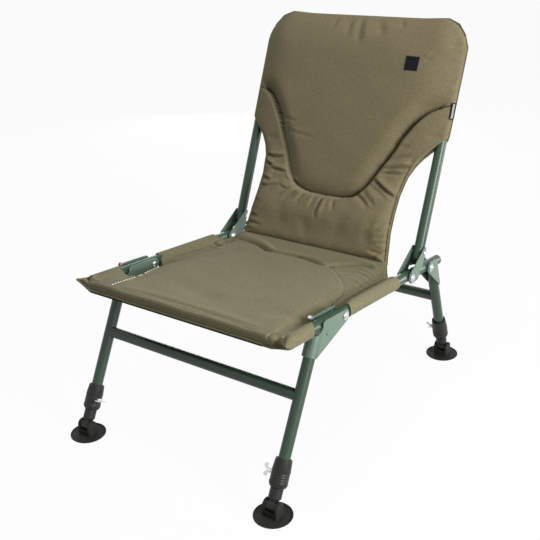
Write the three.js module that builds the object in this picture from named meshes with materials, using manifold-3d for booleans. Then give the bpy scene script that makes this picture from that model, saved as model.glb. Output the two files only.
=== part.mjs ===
// Folding fishing chair for carp anglers: a low padded seat and backrest on a painted
// steel tube frame, with four telescopic legs on swivelling mud feet.
// Millimetres, +Z up, the sitter faces -Y, +X is the right of someone looking at its front.
// The origin is on the ground under the middle of the chair's bounding box.

import * as THREE from 'three';
import { mergeVertices } from 'three/addons/utils/BufferGeometryUtils.js';
import Module from 'manifold-3d';

const wasm = await Module();
wasm.setup();

// Stance
const RAIL_SPACING = 464; // between the axes of the two seat rails
const SEAT_HEIGHT = 301; // front leg pivot above the ground
const SEAT_PITCH_DEG = 5.7; // the rails fall towards the back
const FRONT_LEG_LEAN_DEG = 27.4; // from the vertical, foot forwards
const REAR_LEG_LEAN_DEG = 19.1; // from the vertical, foot backwards
const BACK_RECLINE_DEG = 22.5; // from the vertical, top backwards

// Tubes and the gaps between pieces
const TUBE_D = 22;
const TUBE_WALL = 1.2;
const CLEARANCE = 0.3;
const OVERRUN = 6; // how far a cutting tool runs past what it cuts
const WELD = 0.0005; // vertices closer than this are one

// Seat frame, measured along the rail from the front leg pivot
const FRONT_BAR_REACH = 174;
const BACK_PIVOT_REACH = 266;
const PIVOT_SPACING = 88; // from the backrest pivot on to the rear leg pivot
const RAIL_TAIL = 57; // rail past the rear leg pivot
const SEAT_BEND_R = 45;
const CAP_SHANK = 14;
const CAP_DOME = 6;
const DOME_SHARES = [[1, 0.3], [0.8, 0.7], [0.45, 0.93], [0, 1]]; // of radius and height

// Front legs
const FRONT_AXIS_OFFSET = 68.6; // leg axis ahead of its pivot
const FRONT_TUBE_DROP = 44; // top of the leg tube below its pivot
const FRONT_BRACKET_DROP = 83; // foot of the bracket below its pivot
const FRONT_CROSS_HEIGHT = 197; // cross tube above the ground
const FRONT_EAR_FRONT = 74; // front edge of the ears ahead of the pivot
const FRONT_EAR_KNEE = 8.6; // rise of the front edge up to the knee
const FRONT_EAR_TOP_REACH = 66; // front end of the ears' top edge
const FRONT_NOTCH_DROP = 9; // notch under the rail in front of the ears

// Rear legs
const REAR_AXIS_OFFSET = 27.6; // leg axis behind its pivot
const REAR_TUBE_DROP = 31;
const REAR_BRACKET_DROP = 72;
const REAR_CROSS_HEIGHT = 170;
const REAR_EAR_TOP = 14; // top corner of the ears above the rail axis
const REAR_EAR_REACH = 24; // top corner of the ears behind the pivot
const REAR_EAR_SHOULDER = 32; // next corner of the ears behind the pivot
const REAR_EAR_SHOULDER_RISE = 5;
const REAR_WEB_DROP = 15; // top of the web below the pivot

// Backrest
const BACK_AXIS_OFFSET = 37.2; // tube axis behind the hinge pivot
const BACK_TUBE_FOOT = 40; // lower end of the tube above the pivot, along the tube
const BACK_BAR_RISE = 520; // axis of the top bar above the pivot, along the tube
const BACK_BEND_R = 58;
const BACK_EAR_RISE = 66; // top of the bracket above the pivot, along the tube
const BACK_EAR_TOP_FRONT = 4.4; // top front corner of the ears ahead of the tube axis
const BACK_EAR_HEEL = 28; // lower rear corner of the ears behind the pivot
const BACK_EAR_HEEL_DROP = 9.5; // lower rear corner of the ears below the rail axis
const BACK_EAR_SOLE = 37; // front end of the edge that rests on the rail, behind the pivot

// Folded sheet brackets
const EAR_THICKNESS = 2.3;
const EAR_R = 12.3; // round end about the pivot
const WASHER_ROOM = 1.3; // between an ear and the rail
const WEB_THICKNESS = 3; // of the rounded web that holds the leg tube

// Pivot rivets
const RIVET_SHAFT_R = 3;
const RIVET_HEAD_R = 6;
const RIVET_HEAD_H = 3.4;
const RIVET_CROWN_R = 4.8; // where the head starts to round over
const RIVET_CROWN_H = 2.2;
const RIVET_WASHER_R = 8.5;
const RIVET_WASHER_H = 1.2;
const SPACER_R = 8.2;

// Cross rivets: one under the rail that the front leg comes to rest on, one in the back tube
const CROSS_RIVET_R = 2.6;
const CROSS_HEAD_R = 4.4;
const CROSS_CROWN_R = 2.7;
const CROSS_HEAD_H = 1.8;
const STOP_PIN_REACH = 60; // ahead of the front pivot along the rail
const BACK_RIVET_RISE = 54; // above the hinge pivot along the tube

// Spring lock of the front legs, in the left ear of each front bracket
const LOCK_REACH = 65; // ahead of the pivot along the rail
const LOCK_RISE = 7.2; // above the rail axis
const LOCK_PIN_R = 2;
const LOCK_BUSH_R = 3.3;
const LOCK_FLANGE_R = 4.9;
const LOCK_FLANGE_H = 1.4;
const LOCK_BUTTON_R = 5;
const LOCK_BUTTON_H = 7;
const LOCK_BUTTON_RIM = 1.5;
const LOCK_SOCKET_DEPTH = 4.2; // of the pin in the button

// Backrest stop: a plug in the tube's lower end, with a knob and its stud through the web
const PLUG_HEAD_H = 9;
const PLUG_CHAMFER = 2;
const PLUG_SHANK = 8;
const STOP_STUD_R = 2.8;
const STOP_STUD_TIP = 3; // stands proud in front of the plug
const STOP_KNOB_R = 5.5;
const STOP_KNOB_H = 6;
const STOP_KNOB_CHAMFER = 1.6;
const STOP_STUD_CHAMFER = 0.8;

// Telescopic foot ends, measured up the leg from the swivel pin
const FOOT_PIN_HEIGHT = 22; // swivel pin above the ground
const INNER_LEG_D = 19;
const INNER_LEG_TOP_GAP = 14; // below the top of the leg tube
const STEM_CAP_BOTTOM = 12.2;
const STEM_CAP_LENGTH = 22;
const STEM_CAP_R = 12;
const STEM_SOCKET_FLOOR = 4; // thickness under the inner leg
const STEM_NECK_WIDTH = 13;
const STEM_BARREL_R = 9.6;
const TRUNNION_R = 4;
const TRUNNION_LENGTH = 3;
const COLLAR_LENGTH = 50;
const COLLAR_SHELF = 8; // bottom of the leg tube above the foot of the collar
const COLLAR_TOP_R = 15.2;
const COLLAR_BELLY_R = 17.2;
const COLLAR_FOOT_R = 14.6;
const COLLAR_LIP_R = 13; // mouth of the collar round the leg tube
const COLLAR_LIP_DEPTH = 4;
const COLLAR_FOOT_RISE = 5; // height over which the foot widens to the belly
const COLLAR_RIBS = 4;
const COLLAR_RIB_PITCH = 4.6;
const COLLAR_RIB_DEPTH = 0.8;
const COLLAR_RIB_START = 10;

// Wing screws in the collars
const WING_RISE = 23; // above the foot of the collar
const WING_SHAFT_R = 2.6;
const WING_HUB_R = 4.4;
const WING_HUB_LENGTH = 7;
const WING_HUB_CHAMFER = 1.4;
const WING_STANDOFF = 1.2; // hub from the collar's skin
const WING_SPAN = 26;
const WING_TIP_R = 4.2;
const WING_TIP_REACH = 6; // tips past the root of the hub
const WING_THICKNESS = 2;
const WING_TIP_START_DEG = 127; // round tip, from its upper flank to its outer one
const WING_TIP_END_DEG = -37;
const FRONT_WING_SWING_DEG = 15; // turned forwards from straight inwards
const WING_SPIN_DEG = { left: 0, right: 70 }; // wings turned from lying across the leg

// Mud feet
const FOOT_R = 36;
const FOOT_BASE_H = 2.4;
const FOOT_RIM_H = 3.6;
const FOOT_RIM_W = 1.6;
const FOOT_EAR_THICKNESS = 5;
const FOOT_EAR_R = 11.4;
const FOOT_EAR_GAP = 20.6; // between the two ears
const FOOT_SADDLE_DROP = 8.2; // top of the block between the ears, below the pin

// Cover
const SLEEVE_R = 14; // outside of the fabric round a tube
const COVER_FRONT_END = 93; // front sleeves end this far ahead of the pivot
const COVER_NOTCH_END = 25; // rear sleeves start this far behind the pivot
const SLEEVE_TO_HINGE = 53; // sleeves end this far ahead of the backrest pivot
const PAD_TO_HINGE = 40; // and the pad this far
const COVER_PAD_HALF = 190; // half width of the pad behind the sleeves
const COVER_NOTCH_WIDTH = 21.5; // notch inwards from the rail axis
const LOCK_RECESS_WIDTH = 34; // the same beside a lock button
const LOCK_RECESS_LENGTH = 18;
const SEAT_CROWN = 9;
const SEAT_SEAM_TOP = 0;
const SEAT_SEAM_INSET = 22;
const SEAT_CROWN_RUN = 55;
const SEAT_UNDERSIDE = 7;
const SEAT_ROLL_HEIGHT = 2.2;
const SEAT_ROLL_PITCH = 26;
const SEAT_ROLL_START = 150;
const SEAT_REAR_FALL = 30; // the pad's rear falls over this length
const CORNER_FLAP = 1.6; // half thickness of the pinched corners
const SLEEVE_BLEND = 25; // from the rail axis to where the underside is flat
const BAR_BLEND = 42; // from the front bar axis to where the pad is at full height
const SLEEVE_SHARES = [-1, -0.7, 0, 0.75]; // of the sleeve's radius, inwards from its axis
const PAD_SHARES = [0, 0.4, 1]; // of the run from the seam to the full crown
const ROLL_SHARES = [-1, 0, 0.5, 1, 1.5, 2]; // rows through the rolls, of their pitch
const MIDDLE_SHARE = 0.35; // column near the middle, of the half width

// Backrest cushion, heights above the hinge pivot along the tube
const BACK_PAD_FOOT = 30;
const WING_CORNER_RISE = 294; // lower corners of the wings round the tube
const WAIST_RISE = 159; // narrowest place
const WAIST_HALF = 175;
const WAIST_FLARE = 2.1; // power of the widening from the waist to the wings
const HIP_HALF = 188; // half width at the foot
const CORNER_SQUARENESS = 2.5; // power of the rounded top corners
const SEAM_FOOT_RISE = 134; // bottom of the curved seam
const SEAM_END_RISE = 362; // where the seam runs out at the edge
const SEAM_BOWL_SHARE = 0.18; // of its height, where the bowl of the seam ends
const SEAM_BOWL_HALF = 104;
const SEAM_END_HALF = 212;
const SEAM_WIDTH = 8; // from the seam to the full height beside it
const SEAM_DIP = 8; // below the pillow
const PILLOW_DEPTH = 34; // front of the pillow ahead of the tube axis
const PILLOW_BULGE = 5; // more of it in the middle
const EDGE_DEPTH = 22; // bound edge of the waist ahead of the tube axis
const FOOT_EDGE_DEPTH = 36; // the same at the foot
const PANEL_FRONT = 8; // fullness of the lower panel in front of its edge
const PANEL_REAR = 12; // and behind it
const PANEL_ROUNDING = 26; // width over which the panel's edge rounds off
const PILLOW_REAR = 9; // rear skin behind the tube axis
const BACK_SLEEVE_R = 13.6;
const SLEEVE_RUN = 44; // from the tube axis to the full depth of the pillow
const BOWL_POWER = 0.25; // of the rounded bottom of the seam
const SEAM_FLARE_POWER = 1.5; // of its widening towards the sides
const PILLOW_SHARES = [0, 0.4, 0.75, 1]; // columns across half the pillow
const PANEL_SHARES = [0, 0.5, 1]; // columns from the seam to the rounded edge
const EDGE_SHARES = [1, 0.35, 0]; // columns in the edge, of the sleeve's radius
const FOOT_SHARES = [0, 0.08, 0.2, 0.5]; // rows from the foot up to the seam
const FLARE_SHARES = [0, 0.14, 0.35, 0.55, 0.74, 0.88, 1]; // rows from the waist to the wings
const UPPER_SHARES = [0.2, 0.4, 0.7, 1]; // rows from the wings to the top corners
const CORNER_SHARES = [0.35, 0.6, 0.8, 0.93, 1]; // rows through the top corners

// Patches on the backrest
const PATCH_SIDE = 31;
const PATCH_X = 147;
const PATCH_RISE = 432;
const PATCH_THICKNESS = 0.8;
const TAG_WIDTH = 9;
const TAG_HEIGHT = 36;
const TAG_RISE = 362;
const TAG_TURN_DEG = 38;

// Roundness
const ROUND_SIDES = 16;
const SMALL_SIDES = 12;
const SMALL_R = 9; // bodies thinner than this have fewer sides
const DISC_SIDES = 32;
const BEND_STEPS = 5;

const DEG = Math.PI / 180;
const TUBE_R = TUBE_D / 2;
const RAIL_X = RAIL_SPACING / 2;
const REAR_PIVOT_REACH = BACK_PIVOT_REACH + PIVOT_SPACING;
const RAIL_END_REACH = REAR_PIVOT_REACH + RAIL_TAIL;
const COVER_SLEEVE_END = BACK_PIVOT_REACH - SLEEVE_TO_HINGE;
const COVER_PAD_END = BACK_PIVOT_REACH - PAD_TO_HINGE;
const EAR_INNER = TUBE_R + WASHER_ROOM;
const EAR_OUTER = EAR_INNER + EAR_THICKNESS;
const WEB_R = TUBE_R + CLEARANCE + WEB_THICKNESS;
const RAIL_TOP = TUBE_R + CLEARANCE; // where a piece resting on a rail starts
const SLOT_BELOW_RAIL = [-RAIL_TOP, EAR_R + OVERRUN]; // for a web under the rail
const SLOT_ABOVE_RAIL = [-EAR_R - OVERRUN, RAIL_TOP]; // for a web over the rail
const BORE_R = TUBE_R - TUBE_WALL;
const SIDES = [['left', -1], ['right', 1]];

// Materials

function paint(color, roughness, metalness) {
  return new THREE.MeshStandardMaterial({ color, roughness, metalness, flatShading: true });
}

const finishes = {
  frame: () => paint(0x3c5a48, 0.4, 0.3),
  bracket: () => paint(0x5f7a69, 0.42, 0.3),
  zinc: () => paint(0xc9ccca, 0.3, 0.9),
  plastic: () => paint(0x46463f, 0.55, 0),
  foot: () => paint(0x2b2b28, 0.6, 0),
  rubber: () => paint(0x1c1c1b, 0.8, 0),
  button: () => paint(0xc22534, 0.45, 0),
  fabric: () => paint(0x766e52, 0.95, 0),
  label: () => paint(0x20222a, 0.9, 0),
};

// Solids and booleans

function solidOf(geometry) {
  const bare = geometry.clone();
  bare.deleteAttribute('normal');
  bare.deleteAttribute('uv');
  const merged = mergeVertices(bare, WELD);
  const corners = Array.from(merged.index.array);
  const triangles = [];
  for (let i = 0; i < corners.length; i += 3) {
    const [a, b, c] = corners.slice(i, i + 3);
    if (a !== b && b !== c && c !== a) triangles.push(a, b, c);
  }
  return new wasm.Manifold(new wasm.Mesh({
    numProp: 3,
    vertProperties: merged.attributes.position.array,
    triVerts: new Uint32Array(triangles),
  }));
}

function geometryOf(solid) {
  const mesh = solid.getMesh();
  const geometry = new THREE.BufferGeometry();
  geometry.setAttribute('position', new THREE.BufferAttribute(mesh.vertProperties, 3));
  geometry.setIndex(new THREE.BufferAttribute(mesh.triVerts, 1));
  return geometry;
}

function joined(...solids) {
  return solids.reduce((sum, next) => sum.add(next));
}

function cut(solid, ...tools) {
  return tools.reduce((rest, tool) => rest.subtract(tool), solid);
}

function turnedX(geometry, degrees) {
  return geometry.clone().rotateX(degrees * DEG);
}

function piece(name, solid, finish) {
  const mesh = new THREE.Mesh(geometryOf(solid), finishes[finish]());
  mesh.name = name;
  return mesh;
}

function sidesFor(radius) {
  return radius < SMALL_R ? SMALL_SIDES : ROUND_SIDES;
}

// Round bar along an axis between two stations; across and up place its centre line
function rod(axis, radius, from, to, across = 0, up = 0) {
  const geometry = new THREE.CylinderGeometry(radius, radius, to - from, sidesFor(radius));
  const middle = (from + to) / 2;
  if (axis === 'x') {
    geometry.rotateZ(-90 * DEG);
    geometry.translate(middle, across, up);
  }
  if (axis === 'y') geometry.translate(across, middle, up);
  if (axis === 'z') {
    geometry.rotateX(90 * DEG);
    geometry.translate(across, up, middle);
  }
  return solidOf(geometry);
}

function block(x, y, z, width, depth, height) {
  return new THREE.BoxGeometry(width, depth, height).translate(x, y, z);
}

// Body of revolution about a line along an axis, from points (radius, station)
function turned(axis, profile, across = 0, up = 0, sides = null) {
  const widest = Math.max(...profile.map(([radius]) => radius));
  const points = profile.map(([radius, station]) => new THREE.Vector2(radius, station));
  const geometry = new THREE.LatheGeometry(points, sides ?? sidesFor(widest));
  if (axis === 'x') {
    geometry.rotateZ(-90 * DEG);
    geometry.translate(0, across, up);
  }
  if (axis === 'y') geometry.translate(across, 0, up);
  if (axis === 'z') {
    geometry.rotateX(90 * DEG);
    geometry.translate(across, up, 0);
  }
  return solidOf(geometry);
}

function circlePath(Kind, radius) {
  const path = new Kind();
  path.absarc(0, 0, radius, 0, Math.PI * 2);
  return path;
}

function ringShape(outer, inner) {
  const shape = circlePath(THREE.Shape, outer);
  if (inner > 0) shape.holes.push(circlePath(THREE.Path, inner));
  return shape;
}

// Straight tube along Z
function straightTube(outer, inner, from, to, x, y) {
  const geometry = new THREE.ExtrudeGeometry(ringShape(outer, inner), {
    depth: to - from,
    bevelEnabled: false,
    curveSegments: ROUND_SIDES / 2,
  });
  return solidOf(geometry.translate(x, y, from));
}

// Plate standing across X: its outline is drawn in (y, z)
function sidePlate(shape, from, to) {
  const geometry = new THREE.ExtrudeGeometry(shape, {
    depth: to - from,
    bevelEnabled: false,
    curveSegments: ROUND_SIDES / 2,
  });
  const turn = new THREE.Matrix4().makeBasis(
    new THREE.Vector3(0, 1, 0),
    new THREE.Vector3(0, 0, 1),
    new THREE.Vector3(1, 0, 0),
  );
  return solidOf(geometry.applyMatrix4(turn).translate(from, 0, 0));
}

// Centre line of a bent tube: straight runs of one step joined by round bends
class BentRun extends THREE.Curve {
  constructor(corners, radius) {
    super();
    this.stretches = [];
    let from = corners[0];
    for (let i = 1; i < corners.length - 1; i += 1) {
      const towards = corners[i].clone().sub(corners[i - 1]).normalize();
      const away = corners[i + 1].clone().sub(corners[i]).normalize();
      const entry = corners[i].clone().addScaledVector(towards, -radius);
      const exit = corners[i].clone().addScaledVector(away, radius);
      const centre = entry.clone().addScaledVector(away, radius);
      this.addStraight(from, entry);
      this.addBend(centre, towards, away, radius);
      from = exit;
    }
    this.addStraight(from, corners[corners.length - 1]);
    this.steps = this.stretches.reduce((sum, stretch) => sum + stretch.steps, 0);
  }

  addStraight(from, to) {
    this.stretches.push({ steps: 1, at: (share) => from.clone().lerp(to, share) });
  }

  addBend(centre, towards, away, radius) {
    const at = (share) => {
      const angle = share * Math.PI / 2;
      return centre.clone()
        .addScaledVector(away, -radius * Math.cos(angle))
        .addScaledVector(towards, radius * Math.sin(angle));
    };
    this.stretches.push({ steps: BEND_STEPS, at });
  }

  getPoint(t) {
    let left = t * this.steps;
    for (const stretch of this.stretches) {
      if (left <= stretch.steps) return stretch.at(left / stretch.steps);
      left -= stretch.steps;
    }
    return this.stretches[this.stretches.length - 1].at(1);
  }

  getUtoTmapping(u) {
    return u;
  }
}

function bentTube(run, outer, inner) {
  return solidOf(new THREE.ExtrudeGeometry(ringShape(outer, inner), {
    steps: run.steps,
    extrudePath: run,
    curveSegments: ROUND_SIDES / 2,
  }));
}

function seatRun(past) {
  return new BentRun([
    new THREE.Vector3(-RAIL_X, RAIL_END_REACH + past, 0),
    new THREE.Vector3(-RAIL_X, -FRONT_BAR_REACH, 0),
    new THREE.Vector3(RAIL_X, -FRONT_BAR_REACH, 0),
    new THREE.Vector3(RAIL_X, RAIL_END_REACH + past, 0),
  ], SEAT_BEND_R);
}

function backRun(past) {
  return new BentRun([
    new THREE.Vector3(-RAIL_X, BACK_AXIS_OFFSET, BACK_TUBE_FOOT - past),
    new THREE.Vector3(-RAIL_X, BACK_AXIS_OFFSET, BACK_BAR_RISE),
    new THREE.Vector3(RAIL_X, BACK_AXIS_OFFSET, BACK_BAR_RISE),
    new THREE.Vector3(RAIL_X, BACK_AXIS_OFFSET, BACK_TUBE_FOOT - past),
  ], BACK_BEND_R);
}

// Leg geometry that follows from the stance

const SEAT_PITCH = SEAT_PITCH_DEG * DEG;
const FRONT_TURN_DEG = SEAT_PITCH_DEG - FRONT_LEG_LEAN_DEG; // leg frame in the rail frame
const REAR_TURN_DEG = SEAT_PITCH_DEG + REAR_LEG_LEAN_DEG;
const BACK_TURN_DEG = SEAT_PITCH_DEG - BACK_RECLINE_DEG;

const FRONT_LEG = {
  axisY: -FRONT_AXIS_OFFSET,
  lean: -FRONT_LEG_LEAN_DEG,
  pivotHeight: SEAT_HEIGHT,
  tubeTop: -FRONT_TUBE_DROP,
  crossHeight: FRONT_CROSS_HEIGHT,
  wingSwing: FRONT_WING_SWING_DEG,
};
const REAR_LEG = {
  axisY: REAR_AXIS_OFFSET,
  lean: REAR_LEG_LEAN_DEG,
  pivotHeight: SEAT_HEIGHT - REAR_PIVOT_REACH * Math.sin(SEAT_PITCH),
  tubeTop: -REAR_TUBE_DROP,
  crossHeight: REAR_CROSS_HEIGHT,
  wingSwing: 0,
};

// Place along the leg, below its pivot, of a point of the leg axis at some height
function alongLeg(leg, height) {
  const lean = leg.lean * DEG;
  const rise = height - leg.pivotHeight - leg.axisY * Math.sin(lean);
  return rise / Math.cos(lean);
}

for (const leg of [FRONT_LEG, REAR_LEG]) {
  leg.pinZ = alongLeg(leg, FOOT_PIN_HEIGHT);
  leg.collarFoot = leg.pinZ + STEM_CAP_BOTTOM + STEM_CAP_LENGTH + CLEARANCE;
  leg.wingZ = leg.collarFoot + WING_RISE;
}

// Seat frame

function seatFrameTube() {
  const tools = [];
  for (const [, side] of SIDES) {
    const x = side * RAIL_X;
    for (const reach of [0, BACK_PIVOT_REACH, REAR_PIVOT_REACH]) {
      const from = x - TUBE_R - OVERRUN;
      tools.push(rod('x', RIVET_SHAFT_R + CLEARANCE, from, x + TUBE_R + OVERRUN, reach, 0));
    }
    const lockFrom = x - TUBE_R - OVERRUN;
    tools.push(rod('x', LOCK_PIN_R + CLEARANCE, lockFrom, x, -LOCK_REACH, LOCK_RISE));
  }
  return cut(bentTube(seatRun(0), TUBE_R, BORE_R), ...tools);
}

function railEndCap(side) {
  const shankR = BORE_R - CLEARANCE;
  const seat = RAIL_END_REACH + CLEARANCE;
  return turned('y', [
    [0, RAIL_END_REACH - CAP_SHANK],
    [shankR, RAIL_END_REACH - CAP_SHANK],
    [shankR, seat],
    [TUBE_R, seat],
    ...DOME_SHARES.map(([out, up]) => [TUBE_R * out, seat + CAP_DOME * up]),
  ], side * RAIL_X, 0);
}

// Plain cross rivet through both ears, with a low head on each side
function crossRivet(radius, y, z) {
  const seat = EAR_OUTER + CLEARANCE;
  const end = seat + CROSS_HEAD_H;
  return turned('x', [
    [0, -end],
    [CROSS_CROWN_R, -end],
    [CROSS_HEAD_R, -seat],
    [radius, -seat],
    [radius, seat],
    [CROSS_HEAD_R, seat],
    [CROSS_CROWN_R, end],
    [0, end],
  ], y, z);
}

// Rivet with its spacers beside the rail and a washer under each head
function pivotRivet(side) {
  const spacerFrom = TUBE_R + CLEARANCE;
  const spacerTo = EAR_INNER - CLEARANCE;
  const washer = EAR_OUTER + CLEARANCE;
  const head = washer + RIVET_WASHER_H;
  const half = [
    [RIVET_SHAFT_R, spacerFrom],
    [SPACER_R, spacerFrom],
    [SPACER_R, spacerTo],
    [RIVET_SHAFT_R, spacerTo],
    [RIVET_SHAFT_R, washer],
    [RIVET_WASHER_R, washer],
    [RIVET_WASHER_R, head],
    [RIVET_HEAD_R, head],
    [RIVET_CROWN_R, head + RIVET_CROWN_H],
    [0, head + RIVET_HEAD_H],
  ];
  const mirrored = half.map(([radius, station]) => [radius, -station]).reverse();
  return turned('x', [...mirrored, ...half]).translate(side * RAIL_X, 0, 0);
}

// Brackets

function fromRail(reach, rise, turnDeg) {
  return new THREE.Vector2(reach, rise).rotateAround(new THREE.Vector2(0, 0), -turnDeg * DEG);
}

// Angle at which a line from an outside point touches the round end about the pivot
function touchAngle(point, hand) {
  return point.angle() + hand * Math.acos(EAR_R / point.length());
}

function outlineShape(points, startAngle, endAngle, clockwise) {
  const shape = new THREE.Shape();
  shape.moveTo(points[0].x, points[0].y);
  for (const point of points.slice(1)) shape.lineTo(point.x, point.y);
  shape.absarc(0, 0, EAR_R, startAngle, endAngle, clockwise);
  shape.closePath();
  return shape;
}

// U-shaped bracket: two ears past the rail and a web rounded about the leg tube.
// webHand is -1 where the web is on the -Y side of the tube and 1 where it is on the +Y side.
function bracket({ side, outline, axisY, webHand, webFrom, webTo, turnDeg, slot, tools }) {
  const ears = sidePlate(outline, -EAR_OUTER, EAR_OUTER);
  const far = WEB_R * 3;
  const openY = axisY - webHand * far;
  const keepBehind = solidOf(block(0, openY, 0, EAR_OUTER * 3, far * 2, RAIL_SPACING * 2));
  const wrap = rod('z', WEB_R, webFrom, webTo, 0, axisY);
  const body = ears.intersect(joined(keepBehind, wrap));
  const tubeRoom = rod('z', TUBE_R + CLEARANCE, webFrom - OVERRUN, webTo + OVERRUN, 0, axisY);
  const channel = solidOf(block(0, openY, 0, EAR_INNER * 2, far * 2, RAIL_SPACING * 2));
  const [slotFrom, slotTo] = slot;
  const railRoom = block(0, 0, (slotFrom + slotTo) / 2, EAR_INNER * 2, RAIL_SPACING,
    slotTo - slotFrom);
  const railSlot = solidOf(turnedX(railRoom, -turnDeg));
  const hole = rod('x', RIVET_SHAFT_R + CLEARANCE, -EAR_OUTER - OVERRUN, EAR_OUTER + OVERRUN);
  return cut(body, tubeRoom, channel, railSlot, hole, ...tools).translate(side * RAIL_X, 0, 0);
}

function frontBracket(side) {
  const rail = (reach, rise) => fromRail(reach, rise, FRONT_TURN_DEG);
  const foot = new THREE.Vector2(-FRONT_AXIS_OFFSET, -FRONT_BRACKET_DROP);
  const points = [
    foot,
    new THREE.Vector2(-FRONT_AXIS_OFFSET - WEB_R, -FRONT_BRACKET_DROP),
    new THREE.Vector2(-FRONT_AXIS_OFFSET - WEB_R, -FRONT_TUBE_DROP),
    rail(-FRONT_EAR_FRONT - FRONT_NOTCH_DROP, -FRONT_NOTCH_DROP),
    rail(-FRONT_EAR_FRONT - CLEARANCE, 0),
    rail(-FRONT_EAR_FRONT, FRONT_EAR_KNEE),
    rail(-FRONT_EAR_TOP_REACH, EAR_R),
  ];
  const top = (90 - FRONT_TURN_DEG) * DEG;
  const bottom = touchAngle(foot, 1);
  const outline = outlineShape(points, top, bottom, true);
  const sleeveRoom = new THREE.CylinderGeometry(SLEEVE_R, SLEEVE_R, RAIL_SPACING, ROUND_SIDES);
  sleeveRoom.translate(0, -FRONT_EAR_FRONT - OVERRUN - RAIL_SPACING / 2, 0);
  const lockRoom = rod('x', LOCK_BUSH_R + CLEARANCE, -EAR_OUTER - OVERRUN, 0,
    -LOCK_REACH, LOCK_RISE);
  const pin = stopPinPlace();
  const pinReach = EAR_OUTER + OVERRUN;
  const pinRoom = rod('x', CROSS_RIVET_R + CLEARANCE, -pinReach, pinReach, pin.x, pin.y);
  return bracket({
    side,
    outline,
    axisY: -FRONT_AXIS_OFFSET,
    webHand: -1,
    webFrom: -FRONT_BRACKET_DROP - OVERRUN,
    webTo: 0,
    turnDeg: FRONT_TURN_DEG,
    slot: SLOT_BELOW_RAIL,
    tools: [
      solidOf(turnedX(sleeveRoom, -FRONT_TURN_DEG)),
      lockRoom.rotate([-FRONT_TURN_DEG, 0, 0]),
      pinRoom,
    ],
  });
}

function rearBracket(side) {
  const foot = new THREE.Vector2(REAR_AXIS_OFFSET, -REAR_BRACKET_DROP);
  const points = [
    foot,
    new THREE.Vector2(REAR_AXIS_OFFSET + WEB_R, -REAR_BRACKET_DROP),
    new THREE.Vector2(REAR_AXIS_OFFSET + WEB_R, -REAR_WEB_DROP),
    fromRail(REAR_EAR_SHOULDER, REAR_EAR_SHOULDER_RISE, REAR_TURN_DEG),
    fromRail(REAR_EAR_REACH, REAR_EAR_TOP, REAR_TURN_DEG),
  ];
  const topAngle = touchAngle(points[4], 1);
  const outline = outlineShape(points, topAngle, touchAngle(foot, -1), false);
  return bracket({
    side,
    outline,
    axisY: REAR_AXIS_OFFSET,
    webHand: 1,
    webFrom: -REAR_BRACKET_DROP - OVERRUN,
    webTo: REAR_BRACKET_DROP,
    turnDeg: REAR_TURN_DEG,
    slot: SLOT_BELOW_RAIL,
    tools: [],
  });
}

function backBracket(side) {
  const heel = fromRail(BACK_EAR_HEEL, -BACK_EAR_HEEL_DROP, BACK_TURN_DEG);
  const turn = BACK_TURN_DEG * DEG;
  const webY = BACK_AXIS_OFFSET + WEB_R;
  const soleZ = (RAIL_TOP - webY * Math.sin(turn)) / Math.cos(turn);
  const top = new THREE.Vector2(BACK_AXIS_OFFSET - BACK_EAR_TOP_FRONT, BACK_EAR_RISE);
  const points = [
    heel,
    fromRail(BACK_EAR_SOLE, RAIL_TOP, BACK_TURN_DEG),
    new THREE.Vector2(webY, soleZ),
    new THREE.Vector2(webY, BACK_EAR_RISE),
    top,
  ];
  const front = touchAngle(top, 1);
  const outline = outlineShape(points, front, touchAngle(heel, -1), false);
  const boltRoom = rod('y', STOP_STUD_R + CLEARANCE, 0, BACK_AXIS_OFFSET * 2, 0,
    BACK_TUBE_FOOT - PLUG_HEAD_H / 2);
  const reach = EAR_OUTER + OVERRUN;
  const rivetRoom = rod('x', CROSS_RIVET_R + CLEARANCE, -reach, reach, BACK_AXIS_OFFSET,
    BACK_RIVET_RISE);
  return bracket({
    side,
    outline,
    axisY: BACK_AXIS_OFFSET,
    webHand: 1,
    webFrom: -BACK_EAR_RISE,
    webTo: BACK_EAR_RISE + OVERRUN,
    turnDeg: BACK_TURN_DEG,
    slot: SLOT_ABOVE_RAIL,
    tools: [boltRoom, rivetRoom],
  });
}

// Rivet under the rail: its top stays clear of the tube
function stopPinPlace() {
  const rise = -(TUBE_R + CLEARANCE + CROSS_RIVET_R);
  return fromRail(-STOP_PIN_REACH, rise, FRONT_TURN_DEG);
}

function frontStopPin(side) {
  const place = stopPinPlace();
  return crossRivet(CROSS_RIVET_R, place.x, place.y).translate(side * RAIL_X, 0, 0);
}

function backTubeRivet(side) {
  return crossRivet(CROSS_RIVET_R, BACK_AXIS_OFFSET, BACK_RIVET_RISE)
    .translate(side * RAIL_X, 0, 0);
}

// Spring lock

function lockBush(side) {
  const boreR = LOCK_PIN_R + CLEARANCE;
  const inner = -TUBE_R - CLEARANCE;
  const earInner = -EAR_INNER + CLEARANCE;
  const earOuter = -EAR_OUTER - CLEARANCE;
  return turned('x', [
    [boreR, earOuter - LOCK_FLANGE_H],
    [LOCK_FLANGE_R, earOuter - LOCK_FLANGE_H],
    [LOCK_FLANGE_R, earOuter],
    [LOCK_BUSH_R, earOuter],
    [LOCK_BUSH_R, earInner],
    [LOCK_FLANGE_R, earInner],
    [LOCK_FLANGE_R, inner],
    [boreR, inner],
    [boreR, earOuter - LOCK_FLANGE_H],
  ], -LOCK_REACH, LOCK_RISE).translate(side * RAIL_X, 0, 0);
}

const BUTTON_FACE = -EAR_OUTER - LOCK_FLANGE_H - CLEARANCE * 2; // inner face of the button

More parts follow.
